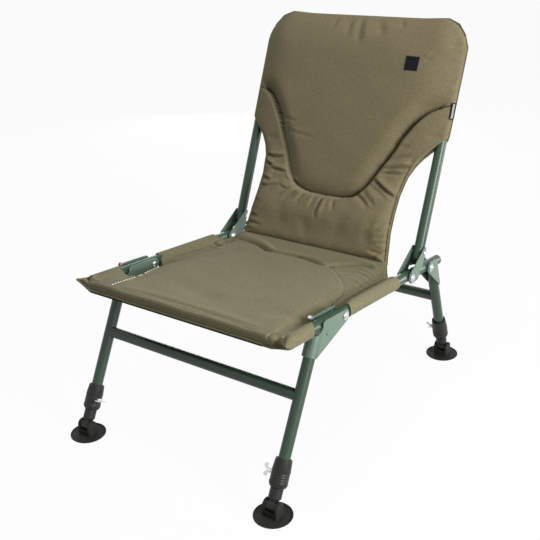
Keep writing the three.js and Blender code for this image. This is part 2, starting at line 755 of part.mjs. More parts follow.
function lockPin(side) {
  const inner = -TUBE_R - CLEARANCE;
  const outer = BUTTON_FACE - LOCK_SOCKET_DEPTH;
  return rod('x', LOCK_PIN_R, outer, inner, -LOCK_REACH, LOCK_RISE).translate(side * RAIL_X, 0, 0);
}

function lockButton(side) {
  const boreR = LOCK_PIN_R + CLEARANCE;
  const floor = BUTTON_FACE - LOCK_SOCKET_DEPTH - CLEARANCE;
  const end = BUTTON_FACE - LOCK_BUTTON_H;
  return turned('x', [
    [0, end],
    [LOCK_BUTTON_R - LOCK_BUTTON_RIM, end],
    [LOCK_BUTTON_R, end + LOCK_BUTTON_RIM],
    [LOCK_BUTTON_R, BUTTON_FACE],
    [boreR, BUTTON_FACE],
    [boreR, floor],
    [0, floor],
  ], -LOCK_REACH, LOCK_RISE).translate(side * RAIL_X, 0, 0);
}

// Legs

function wingDirection(leg, side) {
  const swing = leg.wingSwing * DEG;
  return new THREE.Vector3(-side * Math.cos(swing), -Math.sin(swing), 0);
}

function wingTurn(leg, side) {
  const way = wingDirection(leg, side);
  return Math.atan2(way.y, way.x) / DEG;
}

// Room for the wing screw's shaft through the collar and the leg tube
function wingRoom(leg, side) {
  return rod('x', WING_SHAFT_R + CLEARANCE, 0, COLLAR_BELLY_R + OVERRUN)
    .rotate([0, 0, wingTurn(leg, side)])
    .translate(side * RAIL_X, leg.axisY, leg.wingZ);
}

function legTube(leg, side) {
  const from = leg.collarFoot + COLLAR_SHELF;
  const tube = straightTube(TUBE_R, BORE_R, from, leg.tubeTop, side * RAIL_X, leg.axisY);
  return cut(tube, wingRoom(leg, side));
}

function crossTube(leg) {
  const z = alongLeg(leg, leg.crossHeight);
  const reach = RAIL_X + OVERRUN;
  const outer = rod('x', TUBE_R, -RAIL_X, RAIL_X, leg.axisY, z);
  const bore = rod('x', BORE_R, -reach, reach, leg.axisY, z);
  const legRoom = SIDES.map(([, side]) => rod('z', TUBE_R + CLEARANCE, z - TUBE_D, z + TUBE_D,
    side * RAIL_X, leg.axisY));
  return cut(outer, bore, ...legRoom);
}

function collar(leg, side) {
  const z = leg.collarFoot;
  const slideR = INNER_LEG_D / 2 + CLEARANCE;
  const seatR = TUBE_R + CLEARANCE;
  const shelf = z + COLLAR_SHELF - CLEARANCE;
  const top = z + COLLAR_LENGTH;
  const ribs = [];
  for (let i = 0; i < COLLAR_RIBS; i += 1) {
    const rib = z + COLLAR_RIB_START + i * COLLAR_RIB_PITCH;
    ribs.push([COLLAR_BELLY_R, rib]);
    ribs.push([COLLAR_BELLY_R - COLLAR_RIB_DEPTH, rib + COLLAR_RIB_PITCH / 2]);
  }
  const body = turned('z', [
    [slideR, z],
    [COLLAR_FOOT_R, z],
    [COLLAR_BELLY_R, z + COLLAR_FOOT_RISE],
    ...ribs,
    [COLLAR_BELLY_R, z + COLLAR_RIB_START + COLLAR_RIBS * COLLAR_RIB_PITCH],
    [COLLAR_TOP_R, top],
    [COLLAR_LIP_R, top],
    [seatR, top - COLLAR_LIP_DEPTH],
    [seatR, shelf],
    [slideR, shelf],
    [slideR, z],
  ], side * RAIL_X, leg.axisY);
  return cut(body, wingRoom(leg, side));
}

function wingScrew(leg, side) {
  const hubFrom = COLLAR_BELLY_R + WING_STANDOFF;
  const hubTo = hubFrom + WING_HUB_LENGTH;
  const tipFrom = INNER_LEG_D / 2 + CLEARANCE;
  const spindle = turned('x', [
    [0, tipFrom],
    [WING_SHAFT_R, tipFrom],
    [WING_SHAFT_R, hubFrom],
    [WING_HUB_R, hubFrom],
    [WING_HUB_R, hubTo - WING_HUB_CHAMFER],
    [WING_HUB_R - WING_HUB_CHAMFER, hubTo],
    [0, hubTo],
  ]);
  const tipX = hubTo + WING_TIP_REACH - WING_TIP_R;
  const tipY = WING_SPAN / 2 - WING_TIP_R;
  const wing = new THREE.Shape();
  wing.moveTo(hubFrom + WING_THICKNESS, 0);
  wing.absarc(tipX, tipY, WING_TIP_R, WING_TIP_START_DEG * DEG, WING_TIP_END_DEG * DEG, true);
  wing.lineTo(hubTo - WING_THICKNESS, 0);
  wing.closePath();
  const blade = new THREE.ExtrudeGeometry(wing, {
    depth: WING_THICKNESS,
    bevelEnabled: false,
    curveSegments: ROUND_SIDES / 4,
  });
  blade.translate(0, 0, -WING_THICKNESS / 2);
  const other = blade.clone().rotateX(180 * DEG);
  return joined(spindle, solidOf(blade), solidOf(other))
    .rotate([side < 0 ? WING_SPIN_DEG.left : WING_SPIN_DEG.right, 0, 0])
    .rotate([0, 0, wingTurn(leg, side)])
    .translate(side * RAIL_X, leg.axisY, leg.wingZ);
}

function innerLeg(leg, side) {
  const outer = INNER_LEG_D / 2;
  const from = leg.pinZ + STEM_CAP_BOTTOM + STEM_SOCKET_FLOOR + CLEARANCE;
  const to = leg.tubeTop - INNER_LEG_TOP_GAP;
  return straightTube(outer, outer - TUBE_WALL, from, to, side * RAIL_X, leg.axisY);
}

function footStem(leg, side) {
  const bottom = STEM_CAP_BOTTOM;
  const top = bottom + STEM_CAP_LENGTH;
  const socketR = INNER_LEG_D / 2 + CLEARANCE;
  const chamfer = STEM_CAP_R - socketR;
  const cap = turned('z', [
    [0, bottom],
    [STEM_CAP_R - chamfer, bottom],
    [STEM_CAP_R, bottom + chamfer],
    [STEM_CAP_R, top - chamfer / 2],
    [STEM_CAP_R - chamfer / 2, top],
    [socketR, top],
    [socketR, bottom + STEM_SOCKET_FLOOR],
    [0, bottom + STEM_SOCKET_FLOOR],
  ], 0, 0);
  const neckTop = bottom + STEM_SOCKET_FLOOR / 2;
  const neck = solidOf(block(0, 0, neckTop / 2, STEM_NECK_WIDTH, STEM_NECK_WIDTH, neckTop));
  const half = FOOT_EAR_GAP / 2 - CLEARANCE;
  const barrel = rod('x', STEM_BARREL_R, -half, half);
  const reach = half + TRUNNION_LENGTH;
  const trunnions = rod('x', TRUNNION_R, -reach, reach);
  return joined(cap, neck, barrel, trunnions).translate(side * RAIL_X, leg.axisY, leg.pinZ);
}

// Mud foot, level, about its swivel pin
function footDisc() {
  const ground = -FOOT_PIN_HEIGHT;
  const plate = turned('z', [
    [0, ground],
    [FOOT_R - FOOT_RIM_W, ground],
    [FOOT_R, ground + FOOT_RIM_W],
    [FOOT_R, ground + FOOT_RIM_H],
    [FOOT_R - FOOT_RIM_W, ground + FOOT_RIM_H],
    [FOOT_R - FOOT_RIM_W * 2, ground + FOOT_BASE_H],
    [0, ground + FOOT_BASE_H],
  ], 0, 0, DISC_SIDES);
  const ear = new THREE.Shape();
  ear.moveTo(-FOOT_EAR_R, ground + FOOT_BASE_H / 2);
  ear.lineTo(FOOT_EAR_R, ground + FOOT_BASE_H / 2);
  ear.absarc(0, 0, FOOT_EAR_R, 0, Math.PI, false);
  ear.closePath();
  const inner = FOOT_EAR_GAP / 2;
  const socket = inner + TRUNNION_LENGTH;
  const solids = SIDES.map(([, side]) => {
    const near = side * inner;
    const outer = side * (inner + FOOT_EAR_THICKNESS);
    return sidePlate(ear, Math.min(near, outer), Math.max(near, outer));
  });
  const saddleH = FOOT_PIN_HEIGHT - FOOT_BASE_H / 2 - FOOT_SADDLE_DROP;
  const saddle = solidOf(block(0, 0, -FOOT_SADDLE_DROP - saddleH / 2, inner * 2 + OVERRUN / 2,
    FOOT_EAR_R * 2, saddleH));
  const sockets = rod('x', TRUNNION_R + CLEARANCE, -socket, socket);
  const barrelRoom = rod('x', STEM_BARREL_R + CLEARANCE, -inner, inner);
  return cut(joined(plate, saddle, ...solids), sockets, barrelRoom);
}

// Backrest stop

function backTubePlug(side) {
  const headR = TUBE_R - CLEARANCE;
  const shankR = BORE_R - CLEARANCE;
  const seat = BACK_TUBE_FOOT - CLEARANCE;
  const foot = seat - PLUG_HEAD_H;
  const body = turned('z', [
    [0, foot],
    [headR - PLUG_CHAMFER, foot],
    [headR, foot + PLUG_CHAMFER],
    [headR, seat],
    [shankR, seat],
    [shankR, seat + PLUG_SHANK],
    [0, seat + PLUG_SHANK],
  ], 0, BACK_AXIS_OFFSET);
  const boltRoom = rod('y', STOP_STUD_R + CLEARANCE, 0, BACK_AXIS_OFFSET * 2, 0,
    BACK_TUBE_FOOT - PLUG_HEAD_H / 2);
  return cut(body, boltRoom).translate(side * RAIL_X, 0, 0);
}

function backFrameTube() {
  const reach = RAIL_X + TUBE_R + OVERRUN;
  const rivetRoom = rod('x', CROSS_RIVET_R + CLEARANCE, -reach, reach, BACK_AXIS_OFFSET,
    BACK_RIVET_RISE);
  return cut(bentTube(backRun(0), TUBE_R, BORE_R), rivetRoom);
}

// Knob moulded on its stud, which passes through the web and the plug
function backStopKnob(side) {
  const webFace = BACK_AXIS_OFFSET + WEB_R;
  const from = webFace + CLEARANCE;
  const end = from + STOP_KNOB_H;
  const tip = BACK_AXIS_OFFSET - TUBE_R - STOP_STUD_TIP;
  return turned('y', [
    [0, tip],
    [STOP_STUD_R - STOP_STUD_CHAMFER, tip],
    [STOP_STUD_R, tip + STOP_STUD_CHAMFER],
    [STOP_STUD_R, from],
    [STOP_KNOB_R, from],
    [STOP_KNOB_R, end - STOP_KNOB_CHAMFER],
    [STOP_KNOB_R - STOP_KNOB_CHAMFER, end],
    [0, end],
  ], side * RAIL_X, BACK_TUBE_FOOT - PLUG_HEAD_H / 2);
}

// Padded covers

function ease(share) {
  const t = Math.min(Math.max(share, 0), 1);
  return t * t * (3 - 2 * t);
}

function mix(from, to, share) {
  return from + (to - from) * share;
}

// Distance inwards from the centre line of a hoop: two rails and a bar with round bends
function hoopInset(across, fromBar, bendR) {
  const side = RAIL_X - Math.abs(across);
  if (side < bendR && fromBar < bendR) {
    return bendR - Math.hypot(bendR - side, bendR - fromBar);
  }
  return Math.min(side, fromBar);
}

// Height of the fabric over a tube, at some distance outside its centre line
function overTube(radius, outside) {
  return Math.sqrt(Math.max(radius * radius - outside * outside, CORNER_FLAP * CORNER_FLAP));
}

// Closed cushion: a grid of points with a sitter-side height and a rear height
function cushion(columns, rows, across, front, rear, toSpace) {
  const positions = [];
  const indices = [];
  const wide = columns.length;
  const long = rows.length;
  for (const height of [front, rear]) {
    for (const row of rows) {
      for (const column of columns) {
        const x = across(column, row);
        positions.push(...toSpace(x, row, height(x, row)));
      }
    }
  }
  const at = (layer, i, j) => layer * wide * long + j * wide + i;
  const quad = (a, b, c, d) => indices.push(a, b, c, a, c, d);
  for (let j = 0; j < long - 1; j += 1) {
    for (let i = 0; i < wide - 1; i += 1) {
      quad(at(0, i, j), at(0, i + 1, j), at(0, i + 1, j + 1), at(0, i, j + 1));
      quad(at(1, i, j), at(1, i, j + 1), at(1, i + 1, j + 1), at(1, i + 1, j));
    }
  }
  for (let i = 0; i < wide - 1; i += 1) {
    quad(at(0, i + 1, 0), at(0, i, 0), at(1, i, 0), at(1, i + 1, 0));
    quad(at(0, i, long - 1), at(0, i + 1, long - 1), at(1, i + 1, long - 1), at(1, i, long - 1));
  }
  for (let j = 0; j < long - 1; j += 1) {
    quad(at(0, 0, j), at(0, 0, j + 1), at(1, 0, j + 1), at(1, 0, j));
    quad(at(0, wide - 1, j + 1), at(0, wide - 1, j), at(1, wide - 1, j), at(1, wide - 1, j + 1));
  }
  const geometry = new THREE.BufferGeometry();
  geometry.setAttribute('position', new THREE.Float32BufferAttribute(positions, 3));
  geometry.setIndex(indices);
  return solidOf(geometry);
}

function mirroredStations(half) {
  return [...half.map((station) => -station).reverse(), ...half.slice(1)];
}

function seatTop(x, reach) {
  const inset = hoopInset(x, reach + FRONT_BAR_REACH, SEAT_BEND_R);
  if (inset < 0) return overTube(SLEEVE_R, inset);
  const side = RAIL_X - Math.abs(x);
  const seam = mix(SLEEVE_R, SEAT_SEAM_TOP, ease(side / SEAT_SEAM_INSET));
  const crown = ease((side - SEAT_SEAM_INSET) / SEAT_CROWN_RUN);
  const pad = side < SEAT_SEAM_INSET ? seam : mix(SEAT_SEAM_TOP, SEAT_CROWN, crown);
  const fromBar = ease((reach + FRONT_BAR_REACH) / BAR_BLEND);
  const bow = SEAT_ROLL_START - SEAT_ROLL_PITCH * (x / RAIL_X) ** 2;
  const past = reach - bow;
  const rolls = past > 0 ? 1 - Math.cos((past / SEAT_ROLL_PITCH) * Math.PI * 2) : 0;
  const rearEnd = ease((COVER_PAD_END - reach) / SEAT_REAR_FALL);
  const height = mix(SLEEVE_R, pad, fromBar) + rolls * SEAT_ROLL_HEIGHT * crown;
  return mix(CORNER_FLAP - SEAT_UNDERSIDE, height, rearEnd);
}

function seatUnderside(x, reach) {
  const inset = hoopInset(x, reach + FRONT_BAR_REACH, SEAT_BEND_R);
  if (inset < 0) return -overTube(SLEEVE_R, inset);
  return -mix(SLEEVE_R, SEAT_UNDERSIDE, ease(inset / SLEEVE_BLEND));
}

function seatCover() {
  const sleeve = SLEEVE_SHARES.map((share) => share * SLEEVE_R);
  const pad = PAD_SHARES.map((share) => SEAT_SEAM_INSET + SEAT_CROWN_RUN * share);
  const columns = mirroredStations([
    0,
    RAIL_X * MIDDLE_SHARE,
    ...[...sleeve, ...pad].map((inset) => RAIL_X - inset).reverse(),
  ]);
  const rows = [
    ...[...sleeve, SEAT_SEAM_INSET, BAR_BLEND].map((inset) => inset - FRONT_BAR_REACH),
    -COVER_FRONT_END,
    -COVER_FRONT_END / 2,
    COVER_NOTCH_END,
    (COVER_NOTCH_END + SEAT_ROLL_START) / 2,
    ...ROLL_SHARES.map((share) => SEAT_ROLL_START + SEAT_ROLL_PITCH * share),
    COVER_SLEEVE_END,
    COVER_PAD_END - CORNER_FLAP * 2,
    COVER_PAD_END,
  ];
  const toSpace = (x, row, height) => [x, row, height];
  const body = cushion(columns, rows, (column) => column, seatTop, seatUnderside, toSpace);
  const tall = SLEEVE_R * 4;
  const notchLength = COVER_FRONT_END + COVER_NOTCH_END;
  const notchMiddle = (COVER_NOTCH_END - COVER_FRONT_END) / 2;
  const tailLength = COVER_PAD_END - COVER_SLEEVE_END + OVERRUN;
  const tailMiddle = COVER_SLEEVE_END + tailLength / 2;
  const tailWidth = RAIL_X - COVER_PAD_HALF + SLEEVE_R + OVERRUN;
  const tools = [bentTube(seatRun(OVERRUN), TUBE_R + CLEARANCE, 0)];
  for (const [, side] of SIDES) {
    const notchWidth = COVER_NOTCH_WIDTH + SLEEVE_R + OVERRUN;
    const notchX = side * (RAIL_X - COVER_NOTCH_WIDTH + notchWidth / 2);
    tools.push(solidOf(block(notchX, notchMiddle, 0, notchWidth, notchLength, tall)));
    const tailX = side * (COVER_PAD_HALF + tailWidth / 2);
    tools.push(solidOf(block(tailX, tailMiddle, 0, tailWidth, tailLength, tall)));
  }
  const recessX = RAIL_X - LOCK_RECESS_WIDTH / 2;
  tools.push(solidOf(block(recessX, -LOCK_REACH, 0, LOCK_RECESS_WIDTH, LOCK_RECESS_LENGTH, tall)));
  return cut(body, ...tools);
}

// Half width of the backrest cushion at a height along the tube
function backHalf(rise) {
  const bendStart = BACK_BAR_RISE - BACK_BEND_R;
  const outer = BACK_BEND_R + BACK_SLEEVE_R;
  if (rise > bendStart) {
    const up = Math.min((rise - bendStart) / outer, 1);
    return RAIL_X - BACK_BEND_R + outer * (1 - up ** CORNER_SQUARENESS) ** (1 / CORNER_SQUARENESS);
  }
  const full = RAIL_X + BACK_SLEEVE_R;
  if (rise > WING_CORNER_RISE) return full;
  const flare = (rise - WAIST_RISE) / (WING_CORNER_RISE - WAIST_RISE);
  if (flare > 0) return mix(WAIST_HALF, full, flare ** WAIST_FLARE);
  return mix(WAIST_HALF, HIP_HALF, ease((WAIST_RISE - rise) / (WAIST_RISE - BACK_PAD_FOOT)));
}

// Half width of the pillow inside the curved seam: a bowl that flares out to the sides
function seamHalf(rise) {
  const share = Math.min((rise - SEAM_FOOT_RISE) / (SEAM_END_RISE - SEAM_FOOT_RISE), 1);
  if (share <= 0) return 0;
  const bowl = SEAM_BOWL_HALF * Math.min(share / SEAM_BOWL_SHARE, 1) ** BOWL_POWER;
  const flare = Math.max((share - SEAM_BOWL_SHARE) / (1 - SEAM_BOWL_SHARE), 0);
  return bowl + (SEAM_END_HALF - SEAM_BOWL_HALF) * flare ** SEAM_FLARE_POWER;
}

// Share of the way from the waist down to the foot of the cushion
function towardsFoot(rise) {
  return ease((WAIST_RISE - rise) / (WAIST_RISE - BACK_PAD_FOOT));
}

// Share of the way from the waist up to where the cushion is held by the tube
function towardsWings(rise) {
  return ease((rise - WAIST_RISE) / (WING_CORNER_RISE - OVERRUN - WAIST_RISE));
}

function backFront(x, rise) {
  const inset = hoopInset(x, BACK_BAR_RISE - rise, BACK_BEND_R);
  const edgeDepth = mix(EDGE_DEPTH, FOOT_EDGE_DEPTH, towardsFoot(rise));
  const across = Math.min((backHalf(rise) - Math.abs(x)) / PANEL_ROUNDING, 1);
  const footRound = Math.min((rise - BACK_PAD_FOOT) / PANEL_ROUNDING, 1);
  const round = Math.sqrt(Math.max(Math.min(across, footRound), 0));
  const panel = edgeDepth + CORNER_FLAP + PANEL_FRONT * round;
  const middle = 1 - (x / RAIL_X) ** 2;
  const pillow = PILLOW_DEPTH + PILLOW_BULGE * middle;
  const beyond = (Math.abs(x) - seamHalf(rise)) / SEAM_WIDTH;
  const below = (SEAM_FOOT_RISE - rise) / SEAM_WIDTH;
  const outside = Math.max(beyond, below);
  const inside = Math.max(-beyond, 0) * (below > 0 ? 0 : 1);
  const seamLevel = Math.min(pillow - SEAM_DIP, panel + SEAM_DIP / 2);
  const full = outside > 0
    ? mix(seamLevel, panel, ease(outside))
    : mix(seamLevel, pillow, ease(inside));
  const held = inset < 0
    ? overTube(BACK_SLEEVE_R, inset)
    : mix(BACK_SLEEVE_R, Math.max(full, PILLOW_DEPTH - SEAM_DIP), ease(inset / SLEEVE_RUN));
  return mix(full, held, towardsWings(rise));
}

function backRear(x, rise) {
  const inset = hoopInset(x, BACK_BAR_RISE - rise, BACK_BEND_R);
  const edgeDepth = mix(EDGE_DEPTH, FOOT_EDGE_DEPTH, towardsFoot(rise));
  const across = Math.min((backHalf(rise) - Math.abs(x)) / PANEL_ROUNDING, 1);
  const footRound = Math.min((rise - BACK_PAD_FOOT) / PANEL_ROUNDING, 1);
  const round = Math.sqrt(Math.max(Math.min(across, footRound), 0));
  const panel = edgeDepth - CORNER_FLAP - PANEL_REAR * round;
  const held = inset < 0
    ? -overTube(BACK_SLEEVE_R, inset)
    : -mix(BACK_SLEEVE_R, PILLOW_REAR, ease(inset / SLEEVE_RUN));
  return mix(panel, held, towardsWings(rise));
}

// Stations across half the cushion: some follow the curved seam, the rest the outer edge
function backStations(rise) {
  const half = backHalf(rise);
  const inner = seamHalf(Math.max(rise, SEAM_FOOT_RISE + SEAM_WIDTH));
  const seam = Math.min(inner, half - PANEL_ROUNDING - SEAM_WIDTH * 2);
  const round = half - PANEL_ROUNDING;
  return [
    ...PILLOW_SHARES.map((share) => share * (seam - SEAM_WIDTH)),
    seam,
    ...PANEL_SHARES.map((share) => mix(seam + SEAM_WIDTH, round, share)),
    ...EDGE_SHARES.map((share) => half - BACK_SLEEVE_R * share),
  ];
}

function backCover() {
  const bendStart = BACK_BAR_RISE - BACK_BEND_R;
  const bendEnd = BACK_BAR_RISE + BACK_SLEEVE_R;
  const seamRows = [-SEAM_WIDTH, 0, SEAM_WIDTH].map((offset) => SEAM_FOOT_RISE + offset);
  const rows = [
    ...FOOT_SHARES.map((share) => mix(BACK_PAD_FOOT, seamRows[0], share)),
    ...seamRows,
    ...FLARE_SHARES.map((share) => mix(WAIST_RISE, WING_CORNER_RISE, share)),
    ...UPPER_SHARES.map((share) => mix(WING_CORNER_RISE, bendStart, share)),
    ...CORNER_SHARES.map((share) => mix(bendStart, bendEnd, share)),
  ];
  const columns = mirroredStations([...backStations(WAIST_RISE).keys()]);
  const across = (column, rise) => Math.sign(column) * backStations(rise)[Math.abs(column)];
  const toSpace = (x, rise, height) => [x, BACK_AXIS_OFFSET - height, rise];
  const body = cushion(columns, rows, across, backFront, backRear, toSpace);
  return cut(body, bentTube(backRun(OVERRUN), TUBE_R + CLEARANCE, 0));
}

function labelPatch() {
  const half = PATCH_SIDE / 2;
  const corners = [-half, half].flatMap((dx) => [-half, half]
    .map((dz) => backFront(PATCH_X + dx, PATCH_RISE + dz)));
  const height = Math.max(...corners) + CLEARANCE + PATCH_THICKNESS / 2;
  return solidOf(block(PATCH_X, BACK_AXIS_OFFSET - height, PATCH_RISE,
    PATCH_SIDE, PATCH_THICKNESS, PATCH_SIDE));
}

function sideTag() {
  const reach = BACK_SLEEVE_R + CLEARANCE + PATCH_THICKNESS / 2;
  const plate = block(0, -reach, TAG_RISE, TAG_WIDTH, PATCH_THICKNESS, TAG_HEIGHT);
  plate.rotateZ(TAG_TURN_DEG * DEG);
  return solidOf(plate.translate(RAIL_X, BACK_AXIS_OFFSET, 0));
}

// Assembly

function legGroup(leg, prefix, turnDeg, reach) {
  const group = new THREE.Group();
  group.position.set(0, reach, 0);
  group.rotation.x = turnDeg * DEG;
  group.add(piece(`${prefix}_cross_tube`, crossTube(leg), 'frame'));
  for (const [word, side] of SIDES) {
    group.add(piece(`${prefix}_leg_tube_${word}`, legTube(leg, side), 'frame'));
    group.add(piece(`${prefix}_leg_collar_${word}`, collar(leg, side), 'plastic'));
    group.add(piece(`${prefix}_wing_screw_${word}`, wingScrew(leg, side), 'zinc'));
    group.add(piece(`${prefix}_inner_leg_${word}`, innerLeg(leg, side), 'zinc'));
    group.add(piece(`${prefix}_foot_stem_${word}`, footStem(leg, side), 'plastic'));
    const foot = piece(`${prefix}_mud_foot_${word}`, footDisc(), 'foot');
    foot.position.set(side * RAIL_X, leg.axisY, leg.pinZ);
    foot.rotation.x = -leg.lean * DEG;
    group.add(foot);
    group.add(piece(`${prefix}_pivot_rivet_${word}`, pivotRivet(side), 'zinc'));
  }
  return group;
}

const chair = new THREE.Group();
const seat = new THREE.Group();
seat.position.z = SEAT_HEIGHT;
seat.rotation.x = -SEAT_PITCH;
chair.add(seat);

seat.add(piece('seat_frame_tube', seatFrameTube(), 'frame'));
seat.add(piece('seat_cover', seatCover(), 'fabric'));

const frontLegs = legGroup(FRONT_LEG, 'front', FRONT_TURN_DEG, 0);
const rearLegs = legGroup(REAR_LEG, 'rear', REAR_TURN_DEG, REAR_PIVOT_REACH);
const backrest = new THREE.Group();
backrest.position.y = BACK_PIVOT_REACH;
backrest.rotation.x = BACK_TURN_DEG * DEG;
seat.add(frontLegs, rearLegs, backrest);

backrest.add(piece('backrest_frame_tube', backFrameTube(), 'frame'));
backrest.add(piece('backrest_cover', backCover(), 'fabric'));
backrest.add(piece('label_patch', labelPatch(), 'label'));
backrest.add(piece('side_tag', sideTag(), 'label'));

for (const [word, side] of SIDES) {
  seat.add(piece(`rail_end_cap_${word}`, railEndCap(side), 'frame'));
  seat.add(piece(`lock_bush_${word}`, lockBush(side), 'zinc'));
  seat.add(piece(`lock_pin_${word}`, lockPin(side), 'zinc'));
  seat.add(piece(`lock_button_${word}`, lockButton(side), 'button'));
  frontLegs.add(piece(`front_leg_bracket_${word}`, frontBracket(side), 'bracket'));
  frontLegs.add(piece(`front_stop_pin_${word}`, frontStopPin(side), 'zinc'));
  rearLegs.add(piece(`rear_leg_bracket_${word}`, rearBracket(side), 'bracket'));
  backrest.add(piece(`back_hinge_bracket_${word}`, backBracket(side), 'bracket'));
  backrest.add(piece(`back_pivot_rivet_${word}`, pivotRivet(side), 'zinc'));
  backrest.add(piece(`back_tube_rivet_${word}`, backTubeRivet(side), 'zinc'));
  backrest.add(piece(`back_tube_plug_${word}`, backTubePlug(side), 'rubber'));
  backrest.add(piece(`back_stop_knob_${word}`, backStopKnob(side), 'rubber'));
}

const bounds = new THREE.Box3().setFromObject(chair, true);
chair.position.y = -(bounds.min.y + bounds.max.y) / 2;

export default chair;
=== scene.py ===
# Looks of the folding fishing chair: soft covers, materials, light and camera
import math

import bpy
import numpy as np
from mathutils import Matrix, Vector


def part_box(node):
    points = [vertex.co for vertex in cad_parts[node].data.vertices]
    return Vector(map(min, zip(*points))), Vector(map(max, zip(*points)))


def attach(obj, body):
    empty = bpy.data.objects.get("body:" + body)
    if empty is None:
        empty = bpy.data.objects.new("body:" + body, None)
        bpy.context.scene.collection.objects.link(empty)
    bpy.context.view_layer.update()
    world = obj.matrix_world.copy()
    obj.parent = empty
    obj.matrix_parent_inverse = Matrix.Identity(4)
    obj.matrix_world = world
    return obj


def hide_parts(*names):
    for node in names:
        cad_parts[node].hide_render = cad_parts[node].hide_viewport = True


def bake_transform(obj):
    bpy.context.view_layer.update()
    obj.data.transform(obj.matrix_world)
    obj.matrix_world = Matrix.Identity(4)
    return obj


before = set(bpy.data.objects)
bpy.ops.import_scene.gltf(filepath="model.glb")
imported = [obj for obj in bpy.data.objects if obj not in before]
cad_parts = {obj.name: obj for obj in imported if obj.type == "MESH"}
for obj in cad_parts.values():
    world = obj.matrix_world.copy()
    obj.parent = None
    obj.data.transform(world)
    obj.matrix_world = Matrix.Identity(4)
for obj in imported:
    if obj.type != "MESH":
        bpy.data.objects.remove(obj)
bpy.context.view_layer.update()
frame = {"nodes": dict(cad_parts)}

# Sizes are in millimetres until they meet Blender, and MM turns them into metres
MM = 0.001


def centre_of(node):
    low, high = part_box(node)
    return (low + high) / 2 / MM


# Places of the frame
FRONT_PIVOT = centre_of("front_pivot_rivet_left")
HINGE = centre_of("back_pivot_rivet_left")
RAIL_X = -FRONT_PIVOT.x
HINGE_REACH = math.hypot(HINGE.y - FRONT_PIVOT.y, HINGE.z - FRONT_PIVOT.z)
PITCH = math.atan2(FRONT_PIVOT.z - HINGE.z, HINGE.y - FRONT_PIVOT.y)
RECLINE = math.radians(22.5)
TUBE_R = 11
TUBE_ROOM = 0.8  # between a tube and the sleeve round it
FRONT_BAR_REACH = 174  # ahead of the front pivot along the rail
SEAT_BEND_R = 45
TUBE_BEHIND = 37.2  # backrest tube axis behind the hinge pivot
BACK_BAR_RISE = 520  # above the hinge pivot along the tube
BACK_BEND_R = 58

# Covers
FABRIC_STEP = 1.9  # between the points of the fabric's mesh

# Seat cover
SLEEVE_R = 14
SEAT_HALF = RAIL_X + SLEEVE_R
FLAP = 1.0  # half thickness where two layers meet
STITCH_LINE_TOP = 4.5
SLEEVE_FLAT = 6  # from the rail axis to where the fabric leaves the tube
SLEEVE_DROP = 15  # across, from there down to the stitched foot of the sleeve
SLEEVE_FOOT = 5.6
FRONT_SQUARENESS = 4.2
PAD_TOP = 10.5
PAD_RISE_RUN = 40
BAR_RUN = 110  # from the front bar's axis to where the pad's top is reached
NOTCH_SAG = 9  # the pad hangs lower beside the open places of the sleeves
NOTCH_SAG_FROM_X = 176
NOTCH_FRONT, NOTCH_REAR = -104, 40  # along the rails, where the sleeves are open
PAD_STEP = 3.6  # from the pad down to the plain fabric behind it
PAD_STEP_WIDTH = 7
PAD_EDGE_GROOVE = 1.4
UNDERSIDE = 7
UNDERSIDE_RUN = 26
SLEEVE_END = 213
LEFT_TIP_TOP = 12
LEFT_TIP_FROM_X = 211
RIGHT_TIP_TOP = 2
RIGHT_TIP_SHARE = 0.7
TIP_RUN = 26
CREASE_REACH = 276  # rear end of the seat's fabric, under the foot of the backrest
CREASE_HEIGHT = 20
REAR_RISE_START = 208
REAR_RISE_POWER = 1.4
REAR_THICKNESS = 7
REAR_EDGE_ROUND = 9
CREASE_ROUND = 8

# Stitched side edges of the foam pad: place along the seat, distance from the middle
LEFT_PAD_EDGE = [(-190, 170), (-135, 173), (-94, 177), (-48, 187), (0, 193), (60, 192)]
RIGHT_PAD_EDGE = [(-190, 206), (-130, 204), (-60, 196), (0, 189), (60, 188)]
STITCHES_INSIDE = 7  # from that edge to the row of white stitches
# Rear edge of the foam pad, as places across and along the seat
PAD_ARC = [(-194, -110), (-188, -33), (-156, 72), (-88, 184), (-40, 204), (20, 208), (78, 203),
           (168, 122), (194, 60), (200, -60)]
# Outline of the cover from the end of the side sleeve to the crease
REAR_OUTLINE = [(262, 213), (242, 213), (229, 214), (219, 219), (209, 229), (200, 242), (191, 257),
                (185, 271), (184, 296)]
# Open places of the side sleeves round the front brackets
LEFT_NOTCH = [(-270, -80), (-247, -80), (-222, -88), (-208, -93), (-205, -82), (-205, -8),
              (-206, 8), (-214, 20), (-232, 27), (-247, 31), (-270, 33)]
RIGHT_NOTCH = [(270, -103), (246, -102), (230, -88), (214, -72), (209, -64), (209, -8),
               (211, 12), (222, 25), (238, 24), (252, 17), (270, 14)]

# Backrest cover
CREASE_RISE = 19.4
BACK_SLEEVE_R = 13.6
BACK_TOP = BACK_BAR_RISE + BACK_SLEEVE_R
PILLOW_DEPTH = 34
PILLOW_BULGE = 5
PILLOW_REAR = 9
SLEEVE_RUN = 52
ROUND_RUN = 88  # from the hoop to the full height of the pillow
ROUND_POWER = 2.4
ROUND_OUTSET = 6.5  # beyond the hoop's axis, where the fabric leaves the tube
ROUND_START = 11.9  # height there
SEAM_DEPTH = 13
SEAM_INNER_RUN = 46
SEAM_OUTER_RUN = 8
SEAM_GROOVE = 3.4
HOOP_VALLEY = 4.2  # where the seam's wings run out beside the hoop
GATHER_HEIGHT = 0.35
WING_STEP = 7  # from the pillow down to the wings beside it
PANEL_FRONT = 9
PANEL_BULGE = 9  # the lumbar panel stands out most a little above its middle
PANEL_BULGE_RISE = 100
PANEL_BULGE_RUN = 38
PANEL_REAR = 13
PANEL_ROUND = 26
PANEL_FOOT_ROUND = 17
